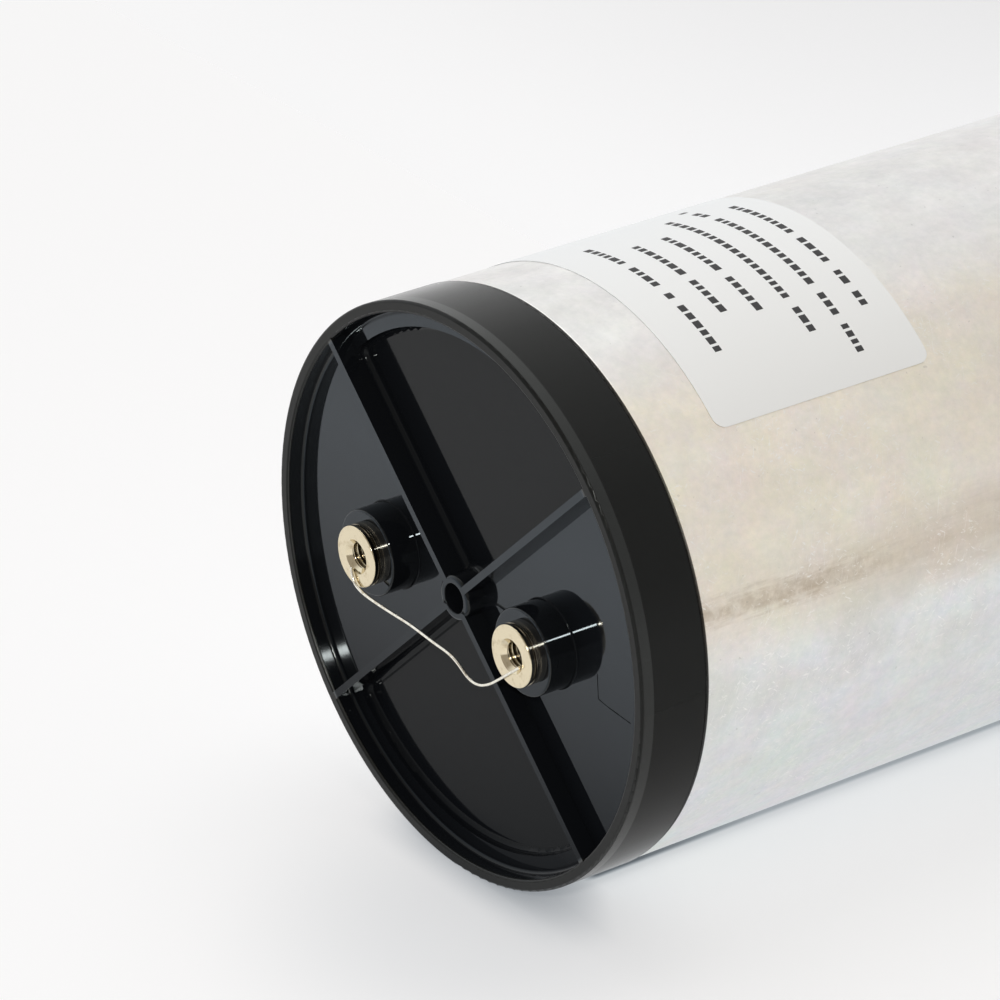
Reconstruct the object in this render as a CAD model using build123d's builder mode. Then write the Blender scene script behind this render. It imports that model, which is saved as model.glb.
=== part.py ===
from build123d import *
import os
from math import cos, pi, radians, sin, sqrt, tan

# Dry film capacitor in a drawn can, standing on its flat bottom.
# Millimetres. Z = 0 is the underside of the can, +Z points out of the moulded lid,
# and the X axis runs from the left terminal to the right one.

# ---- driving dimensions -------------------------------------------------------
# whole body
body_radius = 58.0  # outside of the lid's band
body_height = 190.0  # can's underside to the lid's rim
can_step = 0.25  # how far the can lies inside the lid's band

# can
can_wall = 1.2
can_floor = 2.0
can_heel_radius = 3.0
can_toe_radius = 1.5
can_shoulder = 0.9  # round of the edge under the lid's band

# lid
band_height = 15.2  # black band that stands above the can's edge
rim_width = 2.4
rim_outer_round = 0.5
rim_inner_round = 0.5
band_foot_round = 0.35
floor_depth = 3.7  # rim to the lid's main floor
floor_cove = 0.8  # hollow round between floor and rim wall
plate_thickness = 4.9
spigot_wall = 1.8
spigot_length = 6.8  # how far the spigot reaches into the can
spigot_clearance = 0.15
spigot_lead_in = 0.5
plate_cove = 1.5
pocket_radius = 52.0  # outer edge of the two deeper pockets
pocket_sink = 2.0  # how much deeper the pockets are than the floor
pocket_corner = 2.5
pocket_cove = 1.2
mould_draft = 1.0  # degrees

# ribs and hub of the lid
rib_angle = 43.75  # rib direction from the terminals' line, degrees
rib_width = 1.6  # at the foot of the rib
hub_radius = 4.6
hub_round = 0.8
hub_hole_radius = 3.0
hub_hole_round = 0.2
hub_hole_depth = 11.0
hub_tail = 4.6  # how far the hub reaches below the plate

# terminals
terminal_spacing = 50.0
terminal_height = 5.0  # contact face above the rim
boss_radius = 8.7
boss_height = 2.5  # boss above the rim
boss_round = 0.4
boss_cove = 0.3
boss_tail = 4.4  # how far the boss reaches below the plate
insert_head_radius = 6.2
insert_head_round = 0.25
insert_ring_depth = 0.3
insert_ring_width = 0.5
insert_ring_drop = 1.1  # contact face to the ring's middle
insert_barrel_radius = 5.5
insert_neck_radius = 4.9
insert_neck_length = 3.0
insert_neck_drop = 6.5  # contact face to the neck's top
moulding_fit = 0.02
thread_core_radius = 2.5  # tapping size of M6
thread_depth = 14.0
thread_mouth_radius = 3.5
tail_radius = 3.0
tail_head_radius = 3.9
tail_head_height = 0.8
tail_fit = 0.05

# stack inside the can
liner_thickness = 0.8
liner_clearance = 0.15
bottom_disc_clearance = 0.25  # disc's edge to where the can's toe begins
bottom_disc_thickness = 1.5
top_disc_thickness = 1.5
side_room = 3.5  # windings to the liner
head_room = 18.2  # top insulator to the terminals' bosses
winding_bore_radius = 9.0
spray_thickness = 0.8
core_wall = 1.45
core_fit = 0.05
wrap_thickness = 0.5
wrap_fit = 0.05
spacer_thickness = 1.0
spacer_step = 1.1  # how far the spacer lies inside the windings' edge
link_radius = 30.0
link_hole_radius = 9.0
link_fit = 0.3

# copper strips and their sleeve
strip_width = 12.0
strip_thickness = 0.8
strip_bend = 1.6  # bend radius at the strip's middle line
left_foot = 18.0
right_foot = 24.0
strip_end = 5.0  # strip beyond the terminal's axis
strip_riser = 32.0  # riser's distance from the can's axis
strip_crossing = 2.6  # gap between top disc and the strip that crosses it
wrap_gap = 0.9  # wrap to the middle line of the side strip
slot_fit = 0.3
sleeve_wall = 0.3
sleeve_fit = 0.05
sleeve_margin = 1.0

# resin
resin_fit = 0.05
resin_cover = 3.0  # resin left free below the lid's boss

# rating label
label_length = 51.0  # along the can
label_arc_width = 80.0  # round the can
label_thickness = 0.1
label_first_edge = 46.5  # degrees from +X
label_below_rim = 31.0
label_corner = 2.5
label_fit = 0.05

# shorting wire
wire_diameter = 0.6

# ---- worked-out places -------------------------------------------------------
can_radius = body_radius - can_step
can_bore = can_radius - can_wall
can_top = body_height - band_height
rim_bore = body_radius - rim_width
floor_z = body_height - floor_depth
plate_under = floor_z - plate_thickness
pocket_z = floor_z - pocket_sink
spigot_radius = can_bore - spigot_clearance
spigot_bore = spigot_radius - spigot_wall
spigot_end = can_top - spigot_length
terminal_x = terminal_spacing / 2
face_z = body_height + terminal_height
boss_top = body_height + boss_height
boss_end = plate_under - boss_tail
hub_end = plate_under - hub_tail

liner_radius = can_bore - liner_clearance
liner_bore = liner_radius - liner_thickness
bottom_disc_radius = can_bore - can_toe_radius - bottom_disc_clearance
bottom_disc_top = can_floor + bottom_disc_thickness
liner_top = spigot_end - liner_clearance

winding_radius = liner_bore - side_room
wrap_bore = winding_radius + wrap_fit
wrap_radius = wrap_bore + wrap_thickness
top_disc_radius = wrap_radius - wrap_fit
top_disc_top = boss_end - head_room
top_disc_z = top_disc_top - top_disc_thickness
stack_top = top_disc_z - strip_thickness
lower_z = bottom_disc_top + strip_thickness
spray_height = (stack_top - lower_z - spacer_thickness) / 2
film_width = spray_height - 2 * spray_thickness
upper_z = lower_z + spray_height + spacer_thickness

strip_tab_z = boss_end - strip_thickness / 2
side_strip_x = wrap_radius + wrap_gap
crossing_z = top_disc_top + strip_crossing
resin_top = boss_end - strip_thickness - resin_cover


def revolved(outline):
    """Turn a closed outline of (radius, height) points round the Z axis."""
    with BuildPart() as turned:
        with BuildSketch(Plane.XZ):
            with BuildLine():
                Polyline(*outline, close=True)
            make_face()
        revolve(axis=Axis.Z)
    return turned.part


def ring(outer, inner, low, high):
    """A plain tube or disc between two heights."""
    with BuildPart() as tube:
        with BuildSketch(Plane.XY.offset(low)):
            Circle(outer)
            if inner > 0:
                Circle(inner, mode=Mode.SUBTRACT)
        extrude(amount=high - low)
    return tube.part


def save(part, name):
    """Label a finished piece and write its file."""
    part.label = name
    export_step(part, f"parts/{name}.step")


os.makedirs("parts", exist_ok=True)

# ---- can: one deep-drawn cup ------------------------------------------------
with BuildPart() as can:
    with BuildSketch(Plane.XZ) as can_section:
        with BuildLine():
            Polyline(
                (0, 0),
                (can_radius, 0),
                (can_radius, can_top),
                (can_bore, can_top),
                (can_bore, can_floor),
                (0, can_floor),
                close=True,
            )
        make_face()
        rounds = [
            (can_radius, 0, can_heel_radius),
            (can_bore, can_floor, can_toe_radius),
            (can_radius, can_top, can_shoulder),
        ]
        for corner_r, corner_z, radius in rounds:
            corner = can_section.vertices().sort_by_distance((corner_r, corner_z, 0))[0]
            fillet(corner, radius)
    revolve(axis=Axis.Z)
save(can.part, "can")

# ---- terminal insert: turned brass, one outline for the insert and its seat ------
neck_top = face_z - insert_neck_drop
neck_end = neck_top - insert_neck_length
head_side = [(insert_head_radius, boss_top), (insert_barrel_radius, boss_top)]
barrel_side = [
    (insert_barrel_radius, neck_top),
    (insert_neck_radius, neck_top),
    (insert_neck_radius, neck_end),
    (insert_barrel_radius, neck_end),
    (insert_barrel_radius, boss_end),
]
ring_z = face_z - insert_ring_drop
ring_floor = insert_head_radius - insert_ring_depth
ring_side = [
    (insert_head_radius, ring_z + insert_ring_width / 2),
    (ring_floor, ring_z + insert_ring_width / 2),
    (ring_floor, ring_z - insert_ring_width / 2),
    (insert_head_radius, ring_z - insert_ring_width / 2),
]
tail_end = boss_end - strip_thickness
tail_side = [
    (tail_radius, boss_end),
    (tail_radius, tail_end),
    (tail_head_radius, tail_end),
    (tail_head_radius, tail_end - tail_head_height),
]
countersink = thread_mouth_radius - thread_core_radius
thread_end = face_z - countersink - thread_depth
drill_tip = thread_end - thread_core_radius * tan(radians(30))


def terminal_insert(x):
    """A threaded insert on the axis x, with its tail riveted over the strip."""
    head_edge = [
        (insert_head_radius - insert_head_round, face_z),
        (insert_head_radius, face_z - insert_head_round),
    ]
    bore_side = [
        (0, drill_tip),
        (thread_core_radius, thread_end),
        (thread_core_radius, face_z - countersink),
        (thread_mouth_radius, face_z),
    ]
    with BuildPart(Plane((x, 0, 0))) as insert:
        with BuildSketch(Plane((x, 0, 0), z_dir=(0, -1, 0), x_dir=(1, 0, 0))):
            with BuildLine():
                Polyline(
                    *bore_side,
                    *head_edge,
                    *ring_side,
                    *head_side,
                    *barrel_side,
                    *tail_side,
                    (0, tail_end - tail_head_height),
                    close=True,
                )
            make_face()
        revolve(axis=Axis((x, 0, 0), (0, 0, 1)))
    return insert.part


def insert_seat(x):
    """The hollow that the lid's plastic leaves round an insert."""
    seat = [(r + moulding_fit, z) for r, z in barrel_side]
    with BuildPart() as hollow:
        with BuildSketch(Plane((x, 0, 0), z_dir=(0, -1, 0), x_dir=(1, 0, 0))):
            with BuildLine():
                Polyline((0, boss_top), (seat[0][0], boss_top), *seat, (0, boss_end), close=True)
            make_face()
        revolve(axis=Axis((x, 0, 0), (0, 0, 1)))
    return hollow.part


insert_left = terminal_insert(-terminal_x)
insert_right = terminal_insert(terminal_x)
save(insert_left, "terminal_insert_left")
save(insert_right, "terminal_insert_right")


# ---- lid: one moulding ---------------------------------------------------------
def pocket_outline(side):
    """Outline of a deeper pocket between two ribs; side is 1 or -1 along Y."""
    half = radians(90 - rib_angle)
    apex = rib_width / 2 / sin(half)
    reach = 2 * body_radius
    with BuildSketch(Plane.XY.offset(floor_z)) as outline:
        Circle(pocket_radius)
        with BuildLine():
            Polyline(
                (0, side * apex),
                (reach * sin(half), side * (apex + reach * cos(half))),
                (-reach * sin(half), side * (apex + reach * cos(half))),
                close=True,
            )
        make_face(mode=Mode.INTERSECT)
        Circle(hub_radius, mode=Mode.SUBTRACT)
        far = outline.vertices().group_by(Axis((0, 0, 0), (0, side, 0)))[-1]
        fillet(far, pocket_corner)
    return outline.sketch


with BuildPart() as lid:
    with BuildSketch(Plane.XZ) as lid_section:
        with BuildLine():
            Polyline(
                (0, floor_z),
                (rim_bore, floor_z),
                (rim_bore, body_height),
                (body_radius, body_height),
                (body_radius, can_top),
                (spigot_radius, can_top),
                (spigot_radius, spigot_end),
                (spigot_bore, spigot_end),
                (spigot_bore, plate_under),
                (0, plate_under),
                close=True,
            )
        make_face()
        rounds = [
            (rim_bore, floor_z, floor_cove),
            (rim_bore, body_height, rim_inner_round),
            (body_radius, body_height, rim_outer_round),
            (body_radius, can_top, band_foot_round),
            (spigot_bore, plate_under, plate_cove),
        ]
        for corner_r, corner_z, radius in rounds:
            corner = lid_section.vertices().sort_by_distance((corner_r, corner_z, 0))[0]
            fillet(corner, radius)
        nose = lid_section.vertices().sort_by_distance((spigot_radius, spigot_end, 0))[0]
        chamfer(nose, spigot_lead_in)
    revolve(axis=Axis.Z)

    # two deeper pockets, above and below the terminals' line
    for side in (1, -1):
        add(pocket_outline(side))
        extrude(amount=-pocket_sink, taper=mould_draft, mode=Mode.SUBTRACT)
    pocket_floor_edges = lid.edges().filter_by_position(Axis.Z, pocket_z - 0.01, pocket_z + 0.01)
    fillet(pocket_floor_edges, pocket_cove)

    # crossed ribs
    for angle in (rib_angle, 180 - rib_angle):
        with BuildSketch(Plane.XY.offset(floor_z)):
            Rectangle(2 * (rim_bore + rim_width / 2), rib_width, rotation=angle)
        extrude(amount=floor_depth, taper=mould_draft)

    # hub
    with BuildSketch(Plane.XY.offset(hub_end)):
        Circle(hub_radius)
    extrude(amount=body_height - hub_end)

    # terminal bosses
    for x in (-terminal_x, terminal_x):
        with BuildSketch(Plane((x, 0, boss_end))):
            Circle(boss_radius)
        extrude(amount=boss_top - boss_end)
        boss_rim = lid.edges().filter_by(GeomType.CIRCLE).sort_by_distance((x, boss_radius, boss_top))[0]
        fillet(boss_rim, boss_round)
        boss_foot = lid.edges().filter_by(GeomType.CIRCLE).sort_by_distance((x, boss_radius, floor_z))[0]
        fillet(boss_foot, boss_cove)

    # blind hole of the hub
    with BuildSketch(Plane.XY.offset(body_height)):
        Circle(hub_hole_radius)
    extrude(amount=-hub_hole_depth, mode=Mode.SUBTRACT)
    top_circles = lid.edges().filter_by(GeomType.CIRCLE).filter_by_position(Axis.Z, body_height, body_height)
    hole_rim = top_circles.sort_by(SortBy.RADIUS)[0]
    fillet(hole_rim, hub_hole_round)
    hub_rim = [edge for edge in top_circles if abs(edge.radius - hub_radius) < 0.01]
    fillet(hub_rim, hub_round)

    for x in (-terminal_x, terminal_x):
        add(insert_seat(x), mode=Mode.SUBTRACT)
save(lid.part, "lid")

# ---- insulation against the can -----------------------------------------------
toe_centre = can_bore - can_toe_radius
toe_rise = can_toe_radius - sqrt(can_toe_radius**2 - (liner_radius - toe_centre) ** 2)
save(ring(liner_radius, liner_bore, can_floor + toe_rise + resin_fit, liner_top), "can_liner")
save(ring(bottom_disc_radius, 0, can_floor, bottom_disc_top), "bottom_insulator")

# ---- two windings in series, each with core, sprayed ends and outer wrap ------------
core_radius = winding_bore_radius - core_fit
for name, foot in (("lower", lower_z), ("upper", upper_z)):
    film_foot = foot + spray_thickness
    film_top = film_foot + film_width
    head = foot + spray_height
    save(ring(winding_radius, winding_bore_radius, film_foot, film_top), f"winding_{name}")
    save(ring(winding_radius, winding_bore_radius, foot, film_foot), f"end_spray_{name}_bottom")
    save(ring(winding_radius, winding_bore_radius, film_top, head), f"end_spray_{name}_top")
    save(ring(core_radius, core_radius - core_wall, foot, head), f"core_tube_{name}")
    save(ring(wrap_radius, wrap_bore, film_foot, film_top), f"wrap_film_{name}")

link_z = lower_z + spray_height
save(ring(link_radius, link_hole_radius, link_z, upper_z), "series_link")
spacer_radius = winding_radius - spacer_step
save(ring(spacer_radius, link_radius + link_fit, link_z, upper_z), "middle_spacer")


# ---- copper strips ---------------------------------------------------------------
def strip(middle_line, thickness, width):
    """A flat strip bent along a middle line of (x, z) points."""
    with BuildPart() as bent:
        with BuildSketch(Plane.XZ):
            with BuildLine():
                FilletPolyline(*middle_line, radius=strip_bend)
            trace(line_width=thickness)
        extrude(amount=width / 2, both=True)
    return bent.part


foot_z = stack_top + strip_thickness / 2
left_line = [
    (-(terminal_x - strip_end), strip_tab_z),
    (-strip_riser, strip_tab_z),
    (-strip_riser, foot_z),
    (-strip_riser + left_foot, foot_z),
]
crossing_middle = crossing_z + strip_thickness / 2
bottom_middle = lower_z - strip_thickness / 2
right_line = [
    (terminal_x - strip_end, strip_tab_z),
    (strip_riser, strip_tab_z),
    (strip_riser, crossing_middle),
    (side_strip_x, crossing_middle),
    (side_strip_x, bottom_middle),
    (side_strip_x - right_foot, bottom_middle),
]
rivet_hole = tail_radius + tail_fit
for name, line, x in (("left", left_line, -terminal_x), ("right", right_line, terminal_x)):
    with BuildPart() as lead:
        add(strip(line, strip_thickness, strip_width))
        with BuildSketch(Plane((x, 0, boss_end))):
            Circle(rivet_hole)
        extrude(amount=-2 * strip_thickness, mode=Mode.SUBTRACT)
    save(lead.part, f"lead_strip_{name}")

sleeve_low = bottom_middle + strip_bend + sleeve_margin
sleeve_high = crossing_middle - strip_bend - sleeve_margin
sleeve_x = strip_thickness / 2 + sleeve_fit
sleeve_y = strip_width / 2 + sleeve_fit
with BuildPart() as sleeve:
    with BuildSketch(Plane((side_strip_x, 0, sleeve_low))):
        Rectangle(2 * (sleeve_x + sleeve_wall), 2 * (sleeve_y + sleeve_wall))
        Rectangle(2 * sleeve_x, 2 * sleeve_y, mode=Mode.SUBTRACT)
    extrude(amount=sleeve_high - sleeve_low)
save(sleeve.part, "lead_sleeve")

# ---- top insulator, slotted for the left strip -------------------------------------
with BuildPart() as top_disc:
    with BuildSketch(Plane.XY.offset(top_disc_z)):
        Circle(top_disc_radius)
    extrude(amount=top_disc_thickness)
    slot_outer = strip_riser + strip_thickness / 2 + slot_fit
    slot_inner = strip_riser - strip_bend - slot_fit
    with BuildSketch(Plane((-(slot_outer + slot_inner) / 2, 0, top_disc_z))):
        Rectangle(slot_outer - slot_inner, strip_width + 2 * slot_fit)
    extrude(amount=top_disc_thickness, mode=Mode.SUBTRACT)
save(top_disc.part, "top_insulator")

# ---- potting resin round and over the windings -----------------------------------
resin_bore = wrap_radius + resin_fit
resin_outline = [
    (resin_bore, bottom_disc_top),
    (liner_bore - resin_fit, bottom_disc_top),
    (liner_bore - resin_fit, liner_top),
    (spigot_bore - resin_fit, liner_top),
    (spigot_bore - resin_fit, resin_top),
    (0, resin_top),
    (0, top_disc_top),
    (resin_bore, top_disc_top),
]
channel_thickness = strip_thickness + 2 * resin_fit
channel_width = strip_width + 2 * resin_fit
chase_x = side_strip_x + sleeve_x + sleeve_wall + resin_fit
chase_y = sleeve_y + sleeve_wall + resin_fit
with BuildPart() as resin:
    add(revolved(resin_outline))
    add(strip(left_line, channel_thickness, channel_width), mode=Mode.SUBTRACT)
    add(strip(right_line, channel_thickness, channel_width), mode=Mode.SUBTRACT)
    with BuildSketch(Plane(((wrap_radius + chase_x) / 2 - strip_bend, 0, sleeve_low))):
        Rectangle(chase_x - wrap_radius + 2 * strip_bend, 2 * chase_y)
    extrude(amount=sleeve_high - sleeve_low, mode=Mode.SUBTRACT)
save(resin.part, "potting_resin")

# ---- rating label: a thin film bent round the can ----------------------------------
label_low = body_height - label_below_rim - label_length
label_half = label_arc_width / can_radius / 2
label_middle = radians(label_first_edge) + label_half
label_out = (cos(label_middle), sin(label_middle), 0)
label_round = (-sin(label_middle), cos(label_middle), 0)
label_bore = can_radius + label_fit
with BuildPart() as label:
    with BuildSketch(Plane((0, 0, label_low + label_length / 2), x_dir=label_round, z_dir=label_out)):
        RectangleRounded(2 * can_radius * sin(label_half), label_length, label_corner)
    extrude(amount=body_radius)
    film = ring(label_bore + label_thickness, label_bore, label_low, label_low + label_length)
    add(film, mode=Mode.INTERSECT)
save(label.part, "rating_label")

# ---- shorting wire laid from one terminal's mouth to the other's ---------------------
wire_points = [
    (-terminal_x - 1.15, -2.5, face_z + 0.33),
    (-terminal_x - 0.6, -4.9, face_z + 0.45),
    (-terminal_x + 1.4, -6.25, face_z + 0.5),
    (-19.6, -6.7, face_z + 0.5),
    (-13.0, -6.8, face_z + 0.4),
    (-6.0, -6.6, face_z + 0.45),
    (1.2, -7.05, face_z + 0.65),
    (6.6, -7.05, face_z + 0.75),
    (9.6, -8.2, face_z + 0.7),
    (12.3, -9.95, face_z + 0.6),
    (15.5, -10.1, face_z + 0.55),
    (19.0, -8.35, face_z + 0.55),
    (terminal_x - 2.7, -5.7, face_z + 0.55),
    (terminal_x + 0.6, -2.95, face_z + 0.45),
    (terminal_x + 3.0, -0.9, face_z + 0.3),
]
runs = [Vector(*b) - Vector(*a) for a, b in zip(wire_points, wire_points[1:])]
wire_radii = []
for before, after in zip(runs, runs[1:]):
    turn = radians(before.get_angle(after))
    wire_radii.append(0.45 * min(before.length, after.length) / tan(turn / 2))
print("wire radii", [round(r, 2) for r in wire_radii])
with BuildPart() as wire:
    with BuildLine() as wire_line:
        FilletPolyline(*wire_points, radius=wire_radii)
    with BuildSketch(Plane(wire_points[0], z_dir=runs[0])):
        Circle(wire_diameter / 2)
    sweep(path=wire_line.wires()[0])
wire_length = wire_line.wires()[0].length
wire_volume = pi * wire_diameter**2 / 4 * wire_length
print("wire length", round(wire_length, 2), "volume share", round(wire.part.volume / wire_volume, 4))
save(wire.part, "shorting_wire")
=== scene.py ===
"""Looks of a film capacitor: drawn can, ribbed lid, threaded terminals, rating label and loose wire."""

import logging
import math
from dataclasses import dataclass, field
from enum import Enum
from functools import reduce

import bmesh
import bpy
from mathutils import Matrix, Vector


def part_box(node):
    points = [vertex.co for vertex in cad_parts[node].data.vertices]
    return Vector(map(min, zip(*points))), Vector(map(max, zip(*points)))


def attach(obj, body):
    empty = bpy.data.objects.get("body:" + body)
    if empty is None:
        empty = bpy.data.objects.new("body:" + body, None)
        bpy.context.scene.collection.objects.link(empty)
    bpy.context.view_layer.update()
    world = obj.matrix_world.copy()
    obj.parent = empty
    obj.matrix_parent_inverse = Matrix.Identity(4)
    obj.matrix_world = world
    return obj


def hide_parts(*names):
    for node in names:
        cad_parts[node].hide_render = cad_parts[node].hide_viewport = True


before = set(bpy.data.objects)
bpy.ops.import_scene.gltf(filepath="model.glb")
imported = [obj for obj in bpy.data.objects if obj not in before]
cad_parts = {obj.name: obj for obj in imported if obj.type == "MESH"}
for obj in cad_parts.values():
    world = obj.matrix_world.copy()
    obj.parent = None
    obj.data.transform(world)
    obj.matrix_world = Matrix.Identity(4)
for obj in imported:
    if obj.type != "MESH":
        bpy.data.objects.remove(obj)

MM = 0.001
BAND_RADIUS = 58.0 * MM
FACE_ABOVE_RIM = 5.0 * MM
NOISE_LOW, NOISE_HIGH = 0.3, 0.7
log = logging.getLogger("film_capacitor")
Point = tuple[float, float, float]
Colour = tuple[float, float, float]
Pair = tuple[float, float]
Socket = bpy.types.NodeSocket
Node = bpy.types.Node


# ---- node trees --------------------------------------------------------------


@dataclass(frozen=True)
class Grain:
    """A noise pattern: waves per metre, number of finer layers and their strength."""

    scale: float
    detail: float = 2.0
    rough: float = 0.5


class Graph:
    """A node tree being written, with short calls that add nodes and join them."""

    def __init__(self, tree: bpy.types.NodeTree) -> None:
        """Keep the tree and its nodes."""
        self.tree = tree
        self.nodes = tree.nodes

    def add(self, kind: str, **values: object) -> Node:
        """Add a node and set it up.

        Args:
            kind: the node's type name.
            values: properties of the node, or inputs written as in_NAME or in_NUMBER,
                each a plain value or another node's output.

        Returns:
            The new node.
        """
        node = self.nodes.new(kind)
        for name, value in values.items():
            if not name.startswith("in_"):
                setattr(node, name, value)
        for name, value in values.items():
            if name.startswith("in_"):
                self.feed(node, name[3:], value)
        return node

    def out(self, kind: str, **values: object) -> Socket:
        """Add a node, as add does, and give its first output."""
        return self.add(kind, **values).outputs[0]

    def feed(self, node: Node, name: str, value: object) -> None:
        """Join or set one input of a node.

        Args:
            node: the node to feed.
            name: the input's number, or its name with _ for each space.
            value: another node's output, or a plain value.
        """
        key = int(name) if name.isdigit() else name.replace("_", " ")
        socket = node.inputs[key]
        if isinstance(value, Socket):
            self.tree.links.new(value, socket)
        else:
            socket.default_value = value

    def math(self, operation: str, *values: object) -> Socket:
        """Add a Math node for an operation, with its inputs in order."""
        inputs = {f"in_{index}": value for index, value in enumerate(values)}
        return self.out("ShaderNodeMath", operation=operation, **inputs)

    def plus(self, *values: object) -> Socket:
        """Add two numbers."""
        return self.math("ADD", *values)

    def minus(self, *values: object) -> Socket:
        """Take the second number from the first."""
        return self.math("SUBTRACT", *values)

    def times(self, *values: object) -> Socket:
        """Multiply two numbers, and add the third where there is one."""
        return self.math("MULTIPLY" if len(values) == 2 else "MULTIPLY_ADD", *values)

    def all_of(self, *masks: object) -> Socket:
        """Multiply any number of masks."""
        return reduce(self.times, masks)

    def less(self, mask: object, share: float) -> Socket:
        """Factor that falls from 1 by a share where a mask is 1."""
        return self.times(mask, -share, 1.0)

    def vector(self, operation: str, *values: object) -> Node:
        """Add a Vector Math node for an operation, with its inputs in order."""
        inputs = {f"in_{index}": value for index, value in enumerate(values)}
        return self.add("ShaderNodeVectorMath", operation=operation, **inputs)

    def length(self, run: object) -> Socket:
        """Measure a vector."""
        return self.vector("LENGTH", run).outputs["Value"]

    def dot(self, one: object, two: object) -> Socket:
        """Multiply two vectors into a number."""
        return self.vector("DOT_PRODUCT", one, two).outputs["Value"]

    def parts(self, place: object) -> tuple[Socket, Socket, Socket]:
        """Take a place apart into its three coordinates."""
        return tuple(self.add("ShaderNodeSeparateXYZ", in_0=place).outputs)

    def point(self, *parts: object) -> Socket:
        """Put up to three coordinates together."""
        inputs = {f"in_{index}": value for index, value in enumerate(parts)}
        return self.out("ShaderNodeCombineXYZ", **inputs)

    def step(self, value: object, low: float, high: float) -> Socket:
        """Smooth step from 0 at low to 1 at high.

        Args:
            value: what is measured.
            low: where the step starts.
            high: where the step ends, which may be less than low.

        Returns:
            The step's socket.
        """
        ends = (0.0, 1.0) if high > low else (1.0, 0.0)
        numbers = (min(low, high), max(low, high), *ends)
        return self.ranged(value, numbers, interpolation_type="SMOOTHSTEP")

    def span(self, value: object, low: float, high: float, out_low: float, out_high: float) -> Socket:
        """Straight-line change of the range low to high into out_low to out_high, held at its ends."""
        return self.ranged(value, (low, high, out_low, out_high))

    def sway(self, noise: object, low: float, high: float) -> Socket:
        """Spread a noise's usual range over low to high."""
        return self.span(noise, NOISE_LOW, NOISE_HIGH, low, high)

    def ranged(self, value: object, numbers: tuple[float, ...], **kind: str) -> Socket:
        """Add a Map Range node.

        Args:
            value: what is measured.
            numbers: both ends of its range, then both ends of the result's.
            kind: the way between the ends, if not a straight line.

        Returns:
            The result's socket.
        """
        node = self.add("ShaderNodeMapRange", in_0=value, **kind)
        for index, number in enumerate(numbers, 1):
            node.inputs[index].default_value = number
        return node.outputs[0]

    def noise(self, place: object, grain: Grain, output: int = 0) -> Socket:
        """Add a Noise texture: output 0 is its value, about 0.5 in the mean, and output 1 its colour."""
        sizes = {"in_Scale": grain.scale, "in_Detail": grain.detail, "in_Roughness": grain.rough}
        return self.add("ShaderNodeTexNoise", in_Vector=place, **sizes).outputs[output]

    def mix(self, share: object, one: object, two: object) -> Socket:
        """Mix two numbers by the share of the second."""
        return self.out("ShaderNodeMix", data_type="FLOAT", in_0=share, in_2=one, in_3=two)

    def blend(self, share: object, one: object, two: object, way: str = "MIX") -> Socket:
        """Mix two colours.

        Args:
            share: how much of the second.
            one: the first colour.
            two: the second colour.
            way: the kind of mix.

        Returns:
            The mixed colour's socket.
        """
        node = self.add("ShaderNodeMix", data_type="RGBA", blend_type=way)
        for key, value in ((0, share), (6, one), (7, two)):
            value = (*value, 1.0) if isinstance(value, tuple) else value
            self.feed(node, str(key), value)
        return node.outputs[2]

    def scaled(self, colour: object, factor: object) -> Socket:
        """Multiply a colour or vector by a factor."""
        return self.out("ShaderNodeVectorMath", operation="SCALE", in_0=colour, in_3=factor)

    def radius_and_height(self, place: object) -> tuple[Socket, Socket]:
        """Measure a place's distance from the vertical axis and its height."""
        x, y, z = self.parts(place)
        return self.length(self.point(x, y)), z

    def twisted(self, place: object, turn_per_metre: float, stretch: float) -> Socket:
        """Wind a place round the vertical axis, so that stretched marks run aslant and show no seam.

        Args:
            place: the place.
            turn_per_metre: angle in radians for each metre of height.
            stretch: factor on the height, less than 1 to lengthen marks along the axis.

        Returns:
            The wound place's socket.
        """
        angle = self.times(self.parts(place)[2], turn_per_metre)
        wound = self.out("ShaderNodeVectorRotate", rotation_type="Z_AXIS", in_Vector=place, in_Angle=angle)
        return self.out("ShaderNodeMapping", in_Vector=wound, in_Scale=(1.0, 1.0, stretch))

    def line_distance(self, place: object, start: Point, end: Point) -> Socket:
        """Distance from a place to a straight piece of line.

        Args:
            place: the place.
            start: the line's start.
            end: the line's end.

        Returns:
            The distance's socket.
        """
        run = Vector(end) - Vector(start)
        offset = self.vector("SUBTRACT", place, start).outputs[0]
        along = self.dot(offset, tuple(run / run.length_squared))
        share = self.math("MINIMUM", self.math("MAXIMUM", along, 0.0), 1.0)
        return self.length(self.vector("SUBTRACT", offset, self.scaled(tuple(run), share)).outputs[0])


class ShaderGraph(Graph):
    """A material's tree with its Principled shader, its output and the Object coordinates, in metres."""

    def __init__(self, tree: bpy.types.NodeTree) -> None:
        """Start the tree.

        Args:
            tree: the material's tree, which is cleared.
        """
        super().__init__(tree)
        self.nodes.clear()
        self.shader = self.add("ShaderNodeBsdfPrincipled")
        self.output = self.add("ShaderNodeOutputMaterial", in_0=self.shader.outputs[0])
        self.place = self.add("ShaderNodeTexCoord").outputs["Object"]

    def set(self, **inputs: object) -> None:
        """Join or set inputs of the shader, named with _ for each space."""
        for name, value in inputs.items():
            self.feed(self.shader, name, value)

    def bump(self, height: object, strength: float, distance: float) -> None:
        """Let a height pattern tilt the shader's normal."""
        sizes = {"in_Strength": strength, "in_Distance": distance}
        self.set(Normal=self.out("ShaderNodeBump", in_Height=height, **sizes))


# ---- finishes ----------------------------------------------------------------


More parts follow.
